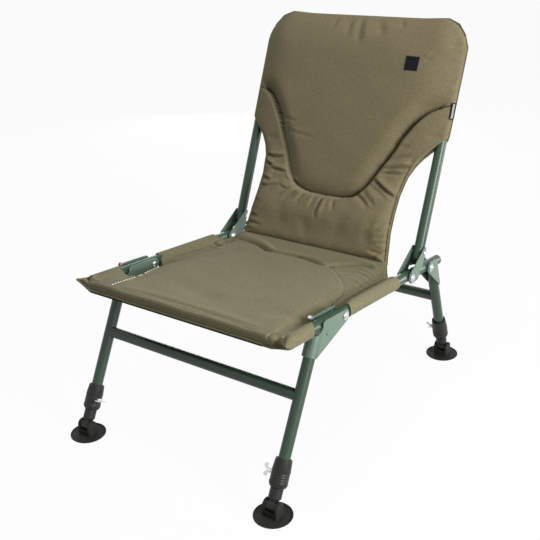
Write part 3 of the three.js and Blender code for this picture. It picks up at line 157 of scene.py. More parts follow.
BINDING_BAND = 6  # rear fabric that shows beyond the bound seam
BAND_RISE = 3
BINDING_DIP = 2.2
WING_START = 175
WING_RISE = 294

# Half width of the backrest cover by height above the hinge pivot
HALF_WIDTHS = [(0, 184), (20, 184.5), (50, 181), (81, 177.5), (120, 175), (160, 175), (200, 181),
               (225, 189), (245, 200), (262, 214), (276, 229), (286, 240), (WING_RISE, 245.6),
               (330, 246), (452, 246), (480, 245.4), (506, 234), (525, 217), (BACK_TOP, 192)]
CORNER_LIFT = 2.6  # the bound corners stand a little higher than the middle of the top
CORNER_LIFT_X = 188
CORNER_LIFT_RUN = 24
# Depth of its bound edge ahead of the tube's axis
EDGE_DEPTHS = [(0, 42), (20, 42), (81, 40), (160, 27), (200, 21), (240, 15), (WING_RISE, 4)]
# Curved seam between the pillow and the lower panel
SEAM = [(0, 133), (45, 135), (78, 146), (100, 172), (121, 214), (144, 253), (168, 297),
        (200, 338), (236, 357), (262, 366)]

FOLD_FADE = 20  # over which a fold dies away at its ends
# Folds, each a line of places, its height, its width, and the height of the shoulder beside it
REAR_CREASE = [(-200, 238), (-157, 235), (-114, 226), (-68, 205), (-32, 206), (3, 205), (37, 200),
               (69, 194), (88, 198), (99, 206)]
SEAT_FOLDS = [
    (REAR_CREASE, -10, 2.4, 0),
    ([(-196, 249), (-153, 246), (-108, 236), (-62, 214), (-20, 217), (30, 212), (70, 206),
      (96, 215)], 6.5, 8, 0),
    ([(85, 202), (90, 219), (104, 232), (134, 248), (162, 248), (180, 240)], 6, 6, 0),
    ([(97, 204), (108, 222), (136, 239), (158, 241), (176, 236)], -7, 2.8, 0),
    ([(92, 196), (118, 214), (150, 226), (180, 220), (196, 208)], 1.6, 4, 0),
    ([(112, 194), (134, 205), (164, 210), (198, 196)], 2.2, 4.4, 0),
    ([(128, 176), (150, 188), (178, 188), (204, 172)], 1.2, 3.2, 0),
    ([(146, 160), (168, 166), (206, 150)], 1.6, 4, 0),
    ([(164, 140), (186, 140), (206, 130)], 0.9, 3.4, 0),
    ([(-218, 193), (-176, 170)], -3.2, 4.5, 2),
    ([(-206, 212), (-190, 224), (-176, 226)], -4, 4.5, 3),
    ([(-214, 170), (-180, 152), (-160, 148)], -1.4, 4, 1),
    ([(211, 60), (207, 130), (208, 170), (214, 217)], -2.2, 2.8, 0),
    ([(-211, 55), (-208, 130), (-210, 200)], -2.0, 2.8, 0),
    ([(-172, -184), (-175, -135), (-178, -94), (-189, -48), (-194, 0)], -1.0, 4, 0),
    ([(228, -92), (220, -126), (218, -168)], -2.6, 7, 0),
    ([(196, -60), (166, -86), (150, -124)], -1.8, 14, 0),
    ([(120, -20), (60, -60), (-20, -70)], 0.9, 22, 0),
    ([(-120, -60), (-40, -100), (70, -110)], -0.8, 20, 0),
    ([(-150, -182), (-60, -172), (60, -172), (180, -178)], -1.3, 7, 1.0),
    ([(-247, -160), (-232, -172), (-214, -188)], -6.5, 4.0, 2.0),
    ([(-228, -186), (-216, -178), (-206, -176)], -2.6, 4, 1.5),
    ([(214, -200), (222, -186), (226, -170)], -3.6, 4, 1.0),
    ([(240, -190), (234, -178), (228, -160)], -2.6, 3.4, 0.8),
    ([(205, -190), (212, -178), (214, -166)], 1.2, 4, 0),
]
BACK_FOLDS = [
    ([(-176, 201), (-150, 199), (-122, 206)], -6.0, 3.6, 5.0),
    ([(-178, 186), (-144, 177)], -4.8, 3.4, 3.8),
    ([(-156, 171), (-104, 169)], -5.0, 3.8, 4.2),
    ([(-174, 151), (-138, 143)], -4.6, 3.6, 3.4),
    ([(-174, 129), (-146, 131), (-116, 140)], -4.6, 4, 3.6),
    ([(-172, 118), (-124, 129)], -2.6, 4, 2.0),
    ([(-118, 137), (-93, 132), (-80, 139)], -3.0, 3.4, 2.2),
    ([(-112, 158), (-88, 150), (-68, 142)], -3.2, 3.8, 2.4),
    ([(-188, 238), (-150, 246)], -2.4, 6, 0),
    ([(-96, 106), (-62, 136)], -3.4, 5.0, 2.6),
    ([(-58, 104), (-41, 134)], -2.8, 4.4, 1.8),
    ([(-20, 98), (-12, 132)], -2.4, 4.2, 1.4),
    ([(5, 134), (4, 112), (-1, 80)], -5.0, 4.0, 3.2),
    ([(40, 100), (32, 133)], -2.4, 4.4, 1.4),
    ([(74, 152), (98, 138), (124, 120)], -4.4, 5.0, 3.0),
    ([(88, 161), (112, 142), (136, 126)], -3.4, 6.0, 2.4),
    ([(102, 174), (130, 160), (160, 146)], -2.8, 5.6, 1.8),
    ([(108, 186), (142, 166), (176, 150)], -5.8, 4.2, 4.8),
    ([(124, 206), (150, 214), (190, 224)], -6.2, 4.0, 5.2),
    ([(120, 199), (146, 202), (178, 206)], -4.2, 3.8, 3.4),
    ([(134, 226), (158, 238), (186, 248)], -2.6, 4.5, 2.0),
    ([(150, 256), (176, 268)], -2.4, 5, 1.6),
    ([(192, 248), (176, 222)], -3.0, 3.8, 2.2),
    ([(200, 286), (222, 292), (240, 298)], -2.6, 7, 0),
    ([(178, 104), (148, 86)], -4.0, 3.4, 3.0),
    ([(180, 74), (146, 60)], -3.6, 3.4, 2.6),
    ([(182, 60), (154, 54)], -3.0, 3.2, 2.2),
    ([(184, 46), (152, 28)], -3.8, 3.4, 2.6),
    ([(184, 32), (134, 37)], -3.2, 3.6, 2.4),
    ([(-184, 60), (-146, 59)], -2.6, 4, 2.0),
    ([(-184, 42), (-134, 41)], -2.8, 4.2, 2.0),
    ([(-178, 92), (-148, 96)], -2.4, 4, 1.8),
    ([(-180, 24), (-150, 30)], -2.2, 4, 1.6),
    ([(-106, 126), (-92, 80), (-84, 30)], -1.5, 15, 0),
    ([(-36, 92), (-22, 60), (-22, 18)], -1.6, 14, 0),
    ([(50, 116), (62, 76), (50, 20)], -1.4, 16, 0),
    ([(146, 120), (130, 76), (140, 30)], -1.6, 12, 0),
    ([(-27, 528), (-25, 508), (-20, 478)], -2.4, 8, 1.4),
    ([(-4, 530), (2, 506), (14, 464)], -3.2, 8.5, 2.2),
    ([(40, 528), (50, 508), (70, 480)], -2.2, 9, 1.4),
    ([(-66, 526), (-64, 512), (-70, 498)], -1.6, 6, 0.8),
    ([(92, 528), (100, 514), (108, 502)], -1.6, 6, 0.8),
    ([(-153, 293), (-126, 287), (-99, 284)], -1.2, 4, 0.6),
    ([(-130, 264), (-90, 257), (-47, 254)], -1.2, 4, 0.6),
    ([(168, 440), (190, 449)], -1.6, 4, 0.8),
    ([(240, 486), (214, 474)], -2.4, 5, 1.6),
    ([(242, 470), (220, 462)], -1.8, 5, 1.2),
    ([(243, 404), (224, 400)], -1.4, 5, 0.8),
    ([(-243, 420), (-226, 414)], -1.4, 5, 0.8),
]

BACK_REAR_FOLDS = [
    ([(-150, 60), (-60, 52), (30, 58), (150, 50)], 1.8, 12, 0),
    ([(-120, 210), (-70, 150), (-40, 96)], 1.8, 16, 0),
    ([(130, 230), (84, 160), (52, 100)], 1.8, 15, 0),
    ([(-180, 300), (-120, 330), (-60, 410)], 1.6, 18, 0),
    ([(180, 320), (120, 350), (70, 430)], 1.6, 18, 0),
    ([(-30, 480), (-10, 420), (6, 330)], 1.4, 16, 0),
]

# Sewn lines and tapes
STITCH_ROW = (-176, 2)  # its ends along the seat
SLEEVE_SEAM = [(58, 211), (130, 207), (170, 208), (206, 212)]  # along the seat, across it
REAR_SEAM_INSET = 22  # from the hoop's axis to the seam that closes its sleeve behind
REAR_SEAM_DENT = 1.3
SEAM_LINE_R = 0.9
HEM_LINE_R = 0.6
BINDING_R = 1.5
HEM_ROLL = (13.2, 4.8, 2.0)  # ahead of the front bar, below it, radius
# A dark cord along the bottom of the front edge, climbing to the left tip: ahead of the front bar, below
# it, radius
DARK_CORD_EDGE = (12.4, 8.4, 1.3)
FRONT_PIPING_END = 196

# Labels
PATCH_X, PATCH_RISE = 147, 432
PATCH_SIDE = 30
TAG_X, TAG_RISE = 246.4, 348
TAG_SIZE = (9.5, 34)
TAG_DEPTH = 9.4
TAG_LEAN = 0.62
LABEL_BORDER = 1.2

# Stage
WHITE = (1, 1, 1, 1)
FLOOR_HALF = 40.0  # in metres
FLOOR_BOUNCE = 0.3
FLOOR_SEEN = 0.9
FLOOR_WHITE = 0.95
SKY_STRENGTH = 0.05
LIGHT_AIM = (0, 0, 0.35)
# Name, place and size in metres, and watts
LIGHTS = [
    ("key_right", (2.5, -0.4, 1.1), (1.1, 1.4), 75),
    ("top", (0.0, -0.35, 2.6), (1.4, 1.2), 26),
    ("rear_right", (1.9, 2.1, 0.5), (1.4, 0.9), 34),
    ("rear_left", (-1.6, 2.2, 0.6), (1.4, 1.0), 14),
]

# Camera, solved from the photograph
CAMERA_AZIMUTH = math.radians(36.289)
CAMERA_ELEVATION = math.radians(23.34)
CAMERA_ROLL = math.radians(-2.056)
CAMERA_PLACE = (943.54, -1174.06, 982.28)  # y from the front pivots
FOCAL_PIXELS = 844.4
PHOTO_WIDTH = 540
SENSOR = 36


# Maths
def ease(t):
    t = np.clip(t, 0, 1)
    return t * t * (3 - 2 * t)


def mix(a, b, t):
    return a + (b - a) * t


def quarter(t):
    """Height of a quarter round that starts upright at 0 and is full and level at 1."""
    return np.sqrt(1 - (1 - np.clip(t, 0, 1)) ** 2)


def bell(distance, width):
    return np.exp(-(distance / width) ** 2)


def over_tube(radius, outside):
    return np.sqrt(np.maximum(radius ** 2 - outside ** 2, FLAP ** 2))


def squarish(radius, outside, power):
    """Like over_tube, with a flatter top and a quicker turn down."""
    share = np.clip(np.abs(outside) / radius, 0, 1)
    return np.maximum(radius * (1 - share ** power) ** (1 / power), FLAP)


def spline(points, steps=10):
    """Smooth line through a few places."""
    p = np.array([points[0], *points, points[-1]], float)
    line = []
    for a, b, c, d in zip(p[:-3], p[1:-2], p[2:-1], p[3:]):
        t = np.linspace(0, 1, steps, endpoint=False)[:, None]
        line.append(b + t * (c - a) / 2 + t ** 2 * (2 * a - 5 * b + 4 * c - d) / 2
                    + t ** 3 * (3 * b - a - 3 * c + d) / 2)
    return np.vstack([*line, p[-1:]])


def beside(line, x, y):
    """Distance from a line, positive on its left, and share of its length, for arrays of places."""
    best = np.full(x.shape, np.inf)
    signed = np.zeros(x.shape)
    share = np.zeros(x.shape)
    steps = np.hypot(*np.diff(line, axis=0).T)
    total = steps.sum()
    passed = 0
    for (ax, ay), (bx, by), length in zip(line[:-1], line[1:], steps):
        ux, uy = (bx - ax) / length, (by - ay) / length
        t = np.clip((x - ax) * ux + (y - ay) * uy, 0, length)
        dx, dy = x - ax - t * ux, y - ay - t * uy
        distance = np.hypot(dx, dy)
        near = distance < best
        best = np.where(near, distance, best)
        signed = np.where(near, np.copysign(distance, ux * (y - ay) - uy * (x - ax)), signed)
        share = np.where(near, (passed + t) / total, share)
        passed += length
    return signed, share


def folds(places, x, y):
    """Sum of creases and ridges. A crease may have a raised shoulder on its far side."""
    height = np.zeros(x.shape)
    for points, rise, width, shoulder in places:
        line = spline(points, 6)
        distance, share = beside(line, x, y)
        length = np.hypot(*np.diff(line, axis=0).T).sum()
        fade_share = min(max(FOLD_FADE, width * 3), length * 0.45) / length
        fade = ease(np.minimum(share, 1 - share) / fade_share + 0.05)
        height += rise * fade * bell(distance, width)
        if shoulder:
            height += shoulder * fade * bell(distance - width * 1.9, width * 1.5)
    return height


def hoop_inset(x, from_bar, bend_r):
    """Distance inwards from the axis of a bent tube hoop."""
    side = RAIL_X - np.abs(x)
    corner = bend_r - np.hypot(bend_r - side, bend_r - from_bar)
    return np.where((side < bend_r) & (from_bar < bend_r), corner, np.minimum(side, from_bar))


def soft_noise(x, y, size, seed):
    """Gentle unevenness of stuffed fabric: a few waves in seeded directions."""
    random = np.random.default_rng(seed)
    total = np.zeros(x.shape)
    for _ in range(7):
        angle, phase = random.uniform(0, math.tau, 2)
        pitch = size * random.uniform(0.7, 1.6)
        total += np.sin((x * math.cos(angle) + y * math.sin(angle)) * math.tau / pitch + phase)
    return total / 7


def soft_inset(x, from_bar):
    """Distance inwards from the hoop, without the sharp mitre that the true distance has."""
    true = hoop_inset(x, from_bar, BACK_BEND_R)
    side = np.maximum(RAIL_X - np.abs(x), 1)
    bar = np.maximum(from_bar, 1)
    soft = (side ** -3.0 + bar ** -3.0) ** (-1 / 3)
    return mix(true, soft, ease(true / 45))


# Places in space
def in_metres(x, y, z):
    return np.stack(np.broadcast_arrays(x, y, z), axis=-1) * MM


def seat_place(x, reach, height):
    """From the seat's own frame to the row frame, in metres."""
    y = FRONT_PIVOT.y + reach * math.cos(PITCH) + height * math.sin(PITCH)
    z = FRONT_PIVOT.z - reach * math.sin(PITCH) + height * math.cos(PITCH)
    return in_metres(x, y, z)


def back_place(x, rise, depth):
    """From the backrest's own frame to the row frame. Depth is ahead of the tube's axis."""
    behind = TUBE_BEHIND - depth
    y = HINGE.y + rise * math.sin(RECLINE) + behind * math.cos(RECLINE)
    z = HINGE.z + rise * math.cos(RECLINE) - behind * math.sin(RECLINE)
    return in_metres(x, y, z)


# Meshes
def mesh_object(name, vertices, faces):
    """A piece whose faces all look outwards, if it is closed."""
    mesh = bpy.data.meshes.new(name)
    mesh.from_pydata(vertices.tolist(), [], [list(face) for face in faces])
    mesh.update()
    mesh.calc_loop_triangles()
    corners = np.array([t.vertices for t in mesh.loop_triangles])
    places = np.array([v.co for v in mesh.vertices])
    a, b, c = (places[corners[:, k]] for k in range(3))
    if np.einsum("ij,ij->i", a, np.cross(b, c)).sum() < 0:
        mesh.flip_normals()
    piece = bpy.data.objects.new(name, mesh)
    bpy.context.scene.collection.objects.link(piece)
    return piece


def quads(grid, flip=False):
    a, b, c, d = grid[:-1, :-1], grid[:-1, 1:], grid[1:, 1:], grid[1:, :-1]
    faces = np.stack([a, b, c, d], axis=-1).reshape(-1, 4)
    return faces[:, ::-1] if flip else faces


def closed_skin(name, front, rear):
    """Two grids of places, sewn to each other all round their rims."""
    rows, columns = front.shape[:2]
    upper = np.arange(rows * columns).reshape(rows, columns)
    lower = upper + rows * columns
    rim = np.concatenate([upper[0, :-1], upper[:-1, -1], upper[-1, :0:-1], upper[:0:-1, 0]])
    wall = np.stack([rim, np.roll(rim, -1)], axis=1)
    wall = np.hstack([wall[:, ::-1], wall + rows * columns])
    faces = np.vstack([quads(upper), quads(lower, flip=True), wall])
    return mesh_object(name, np.vstack([front.reshape(-1, 3), rear.reshape(-1, 3)]), faces)


def bar_faces(rings):
    """Faces of a closed bar, from the numbers of its vertices ring by ring."""
    rings = np.hstack([rings, rings[:, :1]])
    return [*quads(rings).tolist(), rings[0, -2::-1].tolist(), rings[-1, :-1].tolist()]


def sweep(name, centres, outs, ups, radius, sides=32):
    """Closed round bar along a line of places, with two directions across it at each."""
    turn = np.linspace(0, math.tau, sides, endpoint=False)[None, :, None]
    ring = centres[:, None] + (np.cos(turn) * outs[:, None] + np.sin(turn) * ups[:, None]) * radius
    index = np.arange(len(centres) * sides).reshape(-1, sides)
    return mesh_object(name, ring.reshape(-1, 3), bar_faces(index))


def prism(name, outline, place, reach):
    """Upright block over a plan outline, which reaches as far up as down."""
    outline = np.array(outline, float)
    ends = [place(*outline.T, level) for level in (-reach, reach)]
    count = len(outline)
    ids = np.arange(count)
    after = np.roll(ids, -1)
    walls = np.stack([ids, after, after + count, ids + count], axis=1).tolist()
    caps = [ids[::-1].tolist(), (ids + count).tolist()]
    return mesh_object(name, np.vstack(ends), [*walls, *caps])


def carve(piece, tools):
    """Cuts closed tools out of a closed piece and throws the tools away."""
    for tool in tools:
        cut = piece.modifiers.new(tool.name, "BOOLEAN")
        cut.operation = "DIFFERENCE"
        cut.solver = "MANIFOLD"
        cut.object = tool
    graph = bpy.context.evaluated_depsgraph_get()
    mesh = bpy.data.meshes.new_from_object(piece.evaluated_get(graph))
    piece.modifiers.clear()
    piece.data = mesh
    for tool in tools:
        bpy.data.objects.remove(tool)
    return piece


def hoop_line(run_start, bar, bend_r):
    """Places and outward directions along half a hoop's axis and its mirror half."""
    turn = np.linspace(0, math.pi / 2, 9)[:, None]
    side = np.array([[-RAIL_X, run_start], [-RAIL_X, bar - bend_r]], float)
    bend_centre = np.array([[bend_r - RAIL_X, bar - bend_r]])
    aim = np.hstack([-np.cos(turn), np.sin(turn)])
    left = np.vstack([side[:1], bend_centre + aim * bend_r])
    left_out = np.vstack([[-1, 0], aim])
    mirror = np.array([-1, 1])
    return np.vstack([left, left[::-1] * mirror]), np.vstack([left_out, left_out[::-1] * mirror])


def tube_channel(name, place, line, outs):
    """The room that a tube takes up in its sleeve, to be carved out of a cover."""
    origin = place(0, 0, 0)
    aims = (place(*outs.T, 0) - origin) / MM
    ups = np.broadcast_to((place(0, 0, 1) - origin) / MM, aims.shape)
    return sweep(name, place(*line.T, 0), aims, ups, (TUBE_R + TUBE_ROOM) * MM)


def outside_tube(height, inset, sleeved):
    """Keeps the fabric outside the tube where a sleeve covers it."""
    skin = TUBE_R + TUBE_ROOM + 1
    over = np.sqrt(np.maximum(skin ** 2 - inset ** 2, 0))
    return np.where((np.abs(inset) < skin) & sleeved, np.maximum(height, over), height)


# Seat cover
def corner_tip(x, reach):
    """How much a place belongs to the tip of a front corner, from 0 to 1."""
    outward = np.clip((np.abs(x) - LEFT_TIP_FROM_X) / (SEAT_HALF - LEFT_TIP_FROM_X), 0, 1)
    return outward * ease((TIP_RUN - SLEEVE_R - reach - FRONT_BAR_REACH) / TIP_RUN)


def pad_edge(x, reach):
    """Distance of the stitched side edge of the foam from the middle, on the side of x."""
    left = np.interp(reach, *zip(*LEFT_PAD_EDGE))
    right = np.interp(reach, *zip(*RIGHT_PAD_EDGE))
    return np.where(x < 0, left, right)


def notch_sag(x, reach):
    window = ease((reach - NOTCH_FRONT) / 30) * ease((NOTCH_REAR + 8 - reach) / 34)
    outer = ease((np.abs(x) - NOTCH_SAG_FROM_X) / 26)
    return NOTCH_SAG * window * outer * ease((SEAT_HALF - 12 - np.abs(x)) / 8)


def rear_climb(reach):
    """Share of the climb from the foam to the crease under the backrest."""
    return ease((reach - REAR_RISE_START) / (CREASE_REACH - REAR_RISE_START))


def seat_top(x, reach):
    side = RAIL_X - np.abs(x)
    front = reach + FRONT_BAR_REACH
    # The sleeve comes down beside the tube, and flat fabric runs on to where the foam starts
    stitch_inset = RAIL_X - pad_edge(x, reach)
    foot_inset = SLEEVE_FLAT + SLEEVE_DROP
    sleeve = mix(over_tube(SLEEVE_R, SLEEVE_FLAT), SLEEVE_FOOT, ease((side - SLEEVE_FLAT) / SLEEVE_DROP))
    flat_share = np.clip((side - foot_inset) / (stitch_inset - foot_inset), 0, 1)
    sleeve = np.where(side > foot_inset, mix(SLEEVE_FOOT, STITCH_LINE_TOP, flat_share), sleeve)
    sleeve = np.where(side < SLEEVE_FLAT, over_tube(SLEEVE_R, side), sleeve)
    pad = mix(STITCH_LINE_TOP, PAD_TOP, quarter((side - stitch_inset) / PAD_RISE_RUN))
    flat = np.where(side < stitch_inset, sleeve, pad)
    height = mix(SLEEVE_R - 1, flat, ease(front / BAR_RUN))
    nose = squarish(SLEEVE_R, front, FRONT_SQUARENESS)
    height = np.where(front < 0, np.minimum(nose, SLEEVE_R - 1), height)
    height = np.where(side < 0, np.minimum(over_tube(SLEEVE_R, side), height), height)
    # The foam ends at an arc, and plain fabric goes on behind it
    past, _ = beside(spline(PAD_ARC), x, reach)
    inner = ease(side / stitch_inset)
    height -= PAD_STEP * ease(past / PAD_STEP_WIDTH + 0.5) * inner
    height -= PAD_EDGE_GROOVE * bell(past - 1, 2.6) * inner
    height += soft_noise(x, reach, size=95, seed=3) * 0.9 * inner
    height += folds(SEAT_FOLDS, x, reach) * ease((SEAT_HALF - np.abs(x)) / 12)
    height -= notch_sag(x, reach)
    open_place = (np.abs(x) < RAIL_X) & (reach > NOTCH_FRONT) & (reach < NOTCH_REAR)
    inset = hoop_inset(x, front, SEAT_BEND_R)
    height = outside_tube(height, inset, ~open_place & (reach < SLEEVE_END))
    # The tips of the front corners stand up at the left and are gathered at the right
    tip = corner_tip(x, reach)
    right = mix(height, RIGHT_TIP_TOP, tip * RIGHT_TIP_SHARE)
    height = np.where(x < 0, mix(height, LEFT_TIP_TOP, tip), right)
    end = quarter((CREASE_REACH - reach) / CREASE_ROUND)
    crest = mix(CREASE_HEIGHT - 5, CREASE_HEIGHT + 1.5, end)
    climbed = mix(height, crest, rear_climb(reach) ** REAR_RISE_POWER)
    return np.where(reach > REAR_RISE_START, climbed, height)


def seat_bottom(x, reach):
    side = RAIL_X - np.abs(x)
    front = reach + FRONT_BAR_REACH
    inset = np.minimum(side, front)
    low = -mix(SLEEVE_R, UNDERSIDE, ease(inset / UNDERSIDE_RUN))
    low = np.where(inset < 0, -over_tube(SLEEVE_R, inset), low)
    low += soft_noise(x, reach, size=80, seed=5) * 0.7 * ease(inset / 40)
    low -= notch_sag(x, reach) * 0.8
    top = np.where(x < 0, LEFT_TIP_TOP, RIGHT_TIP_TOP) - 2 * FLAP
    low = mix(low, top, corner_tip(x, reach))
    return mix(low, CREASE_HEIGHT - REAR_THICKNESS, rear_climb(reach))


def rear_edge(x, reach, top, bottom):
    """Rounds the free side edges between the sleeves and the crease."""
    line = spline(REAR_OUTLINE)
    inside, _ = beside(line, np.abs(x), reach)
    near = quarter(inside / REAR_EDGE_ROUND)
    behind = ease((reach - SLEEVE_END) / 10)
    middle = (top + bottom) / 2
    half = (top - bottom) / 2
    half = mix(half, np.maximum(half * near, FLAP), behind)
    return middle + half, middle - half


def round_stations(centre, radius, outwards, steps=9):
    """Places across a sleeve, closer together where it turns down."""
    return centre + outwards * radius * np.sin(np.linspace(0, math.pi / 2, steps))


def seat_cover():
    step = FABRIC_STEP
    half = np.arange(0, RAIL_X - 1, step)
    outer = round_stations(RAIL_X, SLEEVE_R, 1)
    across = np.concatenate([-outer[::-1], -half[:0:-1], half, outer])
    start = round_stations(-FRONT_BAR_REACH, SLEEVE_R, -1)[::-1]
    reach = np.concatenate([start, np.arange(-FRONT_BAR_REACH + step, CREASE_REACH - CREASE_ROUND, step),
                            CREASE_REACH - CREASE_ROUND * np.cos(np.linspace(0, math.pi / 2, 8))])
    x, s = np.meshgrid(across, reach)
    top, bottom = rear_edge(x, s, seat_top(x, s), seat_bottom(x, s))
    piece = closed_skin("seat_cover_padded", seat_place(x, s, top), seat_place(x, s, bottom))
    places, outs = hoop_line(HINGE_REACH, FRONT_BAR_REACH, SEAT_BEND_R)
    forwards = [1, -1]
    tools = [tube_channel("seat_channel", seat_place, places * forwards, outs * forwards)]
    for name, notch in (("left_notch", LEFT_NOTCH), ("right_notch", RIGHT_NOTCH)):
        tools.append(prism(name, spline(notch, 4), seat_place, 40))
    for name, side in (("left_rear", -1), ("right_rear", 1)):
        outline = [*spline(REAR_OUTLINE, 5), (290, 290), (290, SLEEVE_END)]
        tools.append(prism(name, [(side * a, b) for a, b in outline], seat_place, 60))
    return carve(piece, tools)


# Backrest cover
def back_half(rise):
    return np.interp(rise, *zip(*HALF_WIDTHS))


def corner_lift(x, rise):
    near_top = ease((rise - BACK_BAR_RISE + CORNER_LIFT_RUN) / CORNER_LIFT_RUN)
    return CORNER_LIFT * near_top * bell(np.abs(x) - CORNER_LIFT_X, 34)


def seam_line():
    half = spline(SEAM)
    return np.vstack([half[:0:-1] * [-1, 1], half])


def panel_surfaces(rise, inward):
    """Front and rear of the lower panel, with the bound seam a little inside its outer edge."""
    edge = np.interp(rise, *zip(*EDGE_DEPTHS))
    foot = quarter((rise - CREASE_RISE) / PANEL_FOOT_ROUND)
    front_round = np.minimum(quarter((inward - BINDING_BAND) / PANEL_ROUND), foot)
    dip = BINDING_DIP * bell(inward - BINDING_BAND, 2.2)
    band = BAND_RISE * quarter(inward / BINDING_BAND)
    bulge = PANEL_BULGE * bell(rise - PANEL_BULGE_RISE, PANEL_BULGE_RUN)
    bulge *= quarter((inward - BINDING_BAND) / 60)
    front = edge - 2 + band + PANEL_FRONT * front_round + bulge - dip * foot
    rear_round = np.minimum(quarter(inward / PANEL_ROUND), foot)
    return front, edge - 4 - PANEL_REAR * rear_round


def pillow_front(x, rise, inset, beyond, panel, wings):
    """Front of the pillow over the seam, and the valley between them."""
    pillow = PILLOW_DEPTH + PILLOW_BULGE * (1 - (x / RAIL_X) ** 2)
    level = np.minimum(pillow, panel) - SEAM_DEPTH
    inner = mix(level, pillow, 1 - (1 - np.clip(-beyond / SEAM_INNER_RUN, 0, 1)) ** 2.6)
    outer = mix(level, panel, quarter(beyond / SEAM_OUTER_RUN))
    full = np.where(beyond > 0, outer, inner)
    held_level = np.where(beyond > 0, np.maximum(outer, PILLOW_DEPTH - WING_STEP), inner)
    run = (soft_inset(x, BACK_BAR_RISE - rise) + ROUND_OUTSET) / (ROUND_RUN + ROUND_OUTSET)
    long_round = 1 - (1 - np.clip(run, 0, 1)) ** ROUND_POWER
    held = mix(ROUND_START, held_level, long_round)
    valley = HOOP_VALLEY * bell(beyond, 3.4) * ease((SLEEVE_RUN - inset) / 30) * ease(inset / 14)
    held = np.where(inset < -ROUND_OUTSET, over_tube(BACK_SLEEVE_R, inset), held - valley)
    return mix(full, held, wings)


def back_rear(x, rise, inset, panel_rear, wings):
    rear = -mix(BACK_SLEEVE_R, PILLOW_REAR, ease(inset / SLEEVE_RUN))
    rear = np.where(inset < 0, -over_tube(BACK_SLEEVE_R, inset), rear)
    rear = mix(panel_rear, rear, wings)
    rear += soft_noise(x, rise, size=70, seed=21) * 1.1 * ease(inset / 40)
    rear += folds(BACK_REAR_FOLDS, x, rise)
    return rear + REAR_SEAM_DENT * bell(inset - REAR_SEAM_INSET, 2.6) * wings


def back_surfaces(x, rise):
    """Depths of the front and the rear fabric ahead of the tube's axis."""
    inset = hoop_inset(x, BACK_BAR_RISE - rise, BACK_BEND_R)
    inward = back_half(rise) - np.abs(x)
    wings = ease((rise - WING_START) / (WING_RISE - 12 - WING_START))
    panel, panel_rear = panel_surfaces(rise, inward)
    beyond, along = beside(seam_line(), x, rise)
    beyond = -beyond
    front = pillow_front(x, rise, inset, beyond, panel, wings)
    front -= SEAM_GROOVE * bell(beyond, 2.4) * ease(inward / 16)
    # Puckers of the gathered fabric beside the seam
    gather = np.sin(along * 168 + 2.2 * np.sin(along * 41)) * np.sin(along * 59 + 1)
    front += GATHER_HEIGHT * gather * bell(beyond - 10, 9) * (1 - wings) ** 2
    front += soft_noise(x, rise, size=88, seed=11) * 0.9 * ease(inset / 40)
    front += soft_noise(x, rise, size=36, seed=12) * 0.5 * ease(beyond / 12) * ease(inward / 30)
    front += folds(BACK_FOLDS, x, rise) * ease((inward - 1) / 8)
    front = outside_tube(front, inset, rise > WING_RISE - 40)
    rear = back_rear(x, rise, inset, panel_rear, wings)
    return front, np.minimum(rear, front - 2 * FLAP)


def back_cover():
    step = FABRIC_STEP
    share = np.arange(0, 1 - 0.065, step / SEAT_HALF)
    edge = 1 - 0.062 * np.cos(np.linspace(0, math.pi / 2, 10))
    across = np.concatenate([-edge[::-1], -share[:0:-1], share, edge])
    foot = CREASE_RISE - 3 + 14 * (1 - np.cos(np.linspace(0, math.pi / 2, 9)))
    body = np.arange(foot[-1] + step, BACK_BAR_RISE - 1, step)
    top = round_stations(BACK_BAR_RISE, BACK_SLEEVE_R, 1)
    rise = np.concatenate([foot, body, top])
    c, z = np.meshgrid(across, rise)
    x = c * back_half(z)
    front, rear = back_surfaces(x, z)
    z = z + corner_lift(x, z)
    piece = closed_skin("backrest_cover_padded", back_place(x, z, front), back_place(x, z, rear))
    line, outs = hoop_line(WING_RISE - 70, BACK_BAR_RISE, BACK_BEND_R)
    channel = tube_channel("back_channel", back_place, line, outs)
    return carve(piece, [channel])


# Stitches
def stitches(name, places, ups, length, gap, width, height, skip, seed):
    """A row of short raised threads along a line of places in metres."""
    random = np.random.default_rng(seed)
    steps = np.linalg.norm(np.diff(places, axis=0), axis=1)
    travelled = np.concatenate([[0], np.cumsum(steps)])
    starts = np.arange(0, travelled[-1] - length * MM, (length + gap) * MM)
    vertices, faces = [], []
    shares = np.array([0, 0.12, 0.3, 0.7, 0.88, 1])
    girth = np.array([0.1, 0.7, 1, 1, 0.7, 0.1])
    sides = 6
    turn = np.linspace(0, math.tau, sides, endpoint=False)
    for start in starts:
        if random.random() < skip:
            continue
        at = start + shares * length * MM * random.uniform(0.8, 1.1)
        line = np.stack([np.interp(at, travelled, places[:, k]) for k in range(3)], axis=1)
        up = np.stack([np.interp(at, travelled, ups[:, k]) for k in range(3)], axis=1)
        up /= np.linalg.norm(up, axis=1, keepdims=True)
        aim = line[-1] - line[0]
        side = np.cross(aim / np.linalg.norm(aim), up)
        first = len(vertices)
        for p, u, q, g in zip(line, up, side, girth):
            for a in turn:
                across = q * math.cos(a) * width / 2 + u * math.sin(a) * height / 2
                vertices.append(p + across * g * MM)
        faces += bar_faces(np.arange(len(shares) * sides).reshape(-1, sides) + first)
    return mesh_object(name, np.array(vertices), faces)


def on_seat(x, reach, lift=0.0):
    return seat_place(x, reach, seat_top(x, reach) + lift)


def on_back(x, rise, lift=0.0):
    front, _ = back_surfaces(x, rise)
    return back_place(x, rise, front + lift)


SEAT_UP = (seat_place(0, 0, 1) - seat_place(0, 0, 0)) / MM
BACK_OUT = (back_place(0, 0, 1) - back_place(0, 0, 0)) / MM


